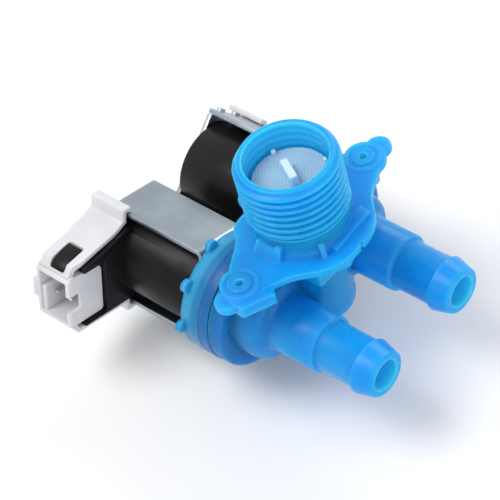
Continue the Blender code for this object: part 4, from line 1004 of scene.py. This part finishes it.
def tab_block(name, low, high, bevel, spare=0.0):
    """A block of the pull tab's length and width, turned as the tab is."""
    u, v = TAB_HALF_LENGTH + spare, TAB_HALF_WIDTH + spare
    return turned_block(name, (-u, -v, low), (u, v, high), bevel, TAB_TURN)


def make_filter_frame():
    """Filter frame with its cross bars, pull tab and two snap teeth."""
    ring = lathe("filter_frame", [
        (9.5, 14.4), (9.5, 9.0), (9.7, 8.8), (10.4, 8.8), (10.4, 7.6), (8.5, 7.6), (8.5, 14.4)],
        "Z", closed=True)
    bars = [
        turned_block("filter_spoke_" + str(i), (-9.0, -0.6, 13.0), (9.0, 0.6, 14.3), 0.15, 90 * i)
        for i in (0, 1)]
    tab = tab_block("filter_pull_tab", 13.6, 18.3, 0.25)
    teeth = [
        turned_block("filter_tooth_" + str(i), (8.8, -0.6, 13.6), (9.75, 0.6, 16.4), 0.2, turn)
        for i, turn in enumerate((157, 62))]
    combine(ring, bars + [tab] + teeth)
    finish_piece(ring, PALE, "valve", "inlet_filter_frame")


def make_filter_mesh():
    """Woven mesh and its backing film, both open where the pull tab passes."""
    weave = woven_disc("woven_filter_mesh", 14.95, 9.85, 0.55, 0.11)
    backing = lathe("weave_backing", [(0, 14.9), (9.8, 14.9), (9.8, 14.75), (0, 14.75)], "Z")
    combine(backing, cuts=[tab_block("tab_room", 0, 22, 0, TAB_FIT)])
    work = bmesh.new()
    work.from_mesh(weave.data)
    back_turn = Matrix.Rotation(radians(-TAB_TURN), 3, "Z")
    length, width = (TAB_HALF_LENGTH - WEAVE_OVERLAP) * MM, (TAB_HALF_WIDTH - WEAVE_OVERLAP) * MM
    inside = []
    for vert in work.verts:
        spot = back_turn @ vert.co
        if abs(spot.x) < length and abs(spot.y) < width:
            inside.append(vert)
    bmesh.ops.delete(work, geom=inside, context="VERTS")
    work.from_mesh(backing.data)
    work.to_mesh(weave.data)
    work.free()
    bpy.data.objects.remove(backing, do_unlink=True)
    finish_piece(weave, WEAVE, "valve", "inlet_filter_mesh")


# Camera, floor and light

def make_camera():
    """A camera at the photograph's angle."""
    right, up = Vector(CAMERA_RIGHT), Vector(CAMERA_UP)
    turn = Matrix((right, up, right.cross(up))).transposed().to_4x4()
    data = bpy.data.cameras.new("camera")
    data.lens = CAMERA_LENS
    data.sensor_width = 36
    data.clip_start = 0.01
    camera = bpy.data.objects.new("camera", data)
    camera.matrix_world = Matrix.Translation(Vector(CAMERA_SPOT) * MM) @ turn
    bpy.context.scene.collection.objects.link(camera)
    bpy.context.scene.camera = camera


def make_floor():
    """A pale floor just under the lowest piece."""
    low = CAD_BOX[0][2] - FLOOR_GAP * MM
    corners = [(FLOOR_HALF * u, FLOOR_HALF * v, low) for u, v in ((-1, -1), (1, -1), (1, 1), (-1, 1))]
    mesh = bpy.data.meshes.new("floor")
    mesh.from_pydata(corners, [], [(0, 1, 2, 3)])
    floor = bpy.data.objects.new("floor", mesh)
    bpy.context.scene.collection.objects.link(floor)
    mat, _, shader = new_material("pale_floor")
    shader.inputs["Base Color"].default_value = (0.93, 0.93, 0.93, 1)
    shader.inputs["Roughness"].default_value = 0.9
    mesh.materials.append(mat)


def make_world():
    """A white surround that lights the object at half strength."""
    world = bpy.data.worlds.new("world")
    world.use_nodes = True
    tree = world.node_tree
    background = tree.nodes["Background"]
    path = node(tree, "ShaderNodeLightPath")
    seen = calc(tree, "MAXIMUM", path.outputs["Is Camera Ray"], path.outputs["Is Transmission Ray"])
    white = calc(tree, "MAXIMUM", seen, path.outputs["Is Glossy Ray"])
    tree.links.new(spread(tree, white, 0.5, 1.0, 0.0, 1.0), background.inputs["Strength"])
    background.inputs["Color"].default_value = (1, 1, 1, 1)
    bpy.context.scene.world = world


def make_lamps():
    """Three soft lamps, each aimed at the object: place, size and power."""
    target = Vector((0, 0, -0.02))
    for name, spot, size, power in (
        ("key", (-0.25, -0.30, 0.75), 0.45, 4.1),
        ("fill", (0.65, -0.15, 0.35), 0.5, 1.5),
        ("back", (-0.1, 0.7, 0.45), 0.4, 2.1),
    ):
        light = bpy.data.lights.new(name, "AREA")
        light.size = size
        light.energy = power
        lamp = bpy.data.objects.new(name, light)
        lamp.location = spot
        lamp.rotation_euler = (target - Vector(spot)).to_track_quat("-Z", "Y").to_euler()
        bpy.context.scene.collection.objects.link(lamp)


# Hidden pieces that keep their CAD shape

def dress(name, mat):
    """Gives a CAD node's object a better material."""
    obj = bpy.data.objects[name]
    obj.data.materials.clear()
    obj.data.materials.append(mat)


def dress_nodes():
    """Better materials for the CAD nodes that stay."""
    dress("regulator_holder", HOLDER)
    dress("regulator_washer", RUBBER)
    for name, _, _ in SIDES:
        for part, mat in (
            ("diaphragm_insert", HOLDER), ("armature", STEEL), ("armature_tip", RUBBER),
            ("flux_sleeve", ZINC), ("coil_bobbin", GREY), ("coil_winding", COPPER),
        ):
            dress(name + "_" + part, mat)


make_camera()
make_floor()
make_world()
make_lamps()
bpy.context.scene.view_settings.view_transform = "Standard"
dress_nodes()
make_body()
make_filter_frame()
make_filter_mesh()
for name, side, angle in SIDES:
    make_bonnet(name, side)
    make_diaphragm(name, side)
    make_yoke(name, side, angle)
    make_coil(name, side, angle)
    make_connector(name, side, angle)
    make_spring(name, side)
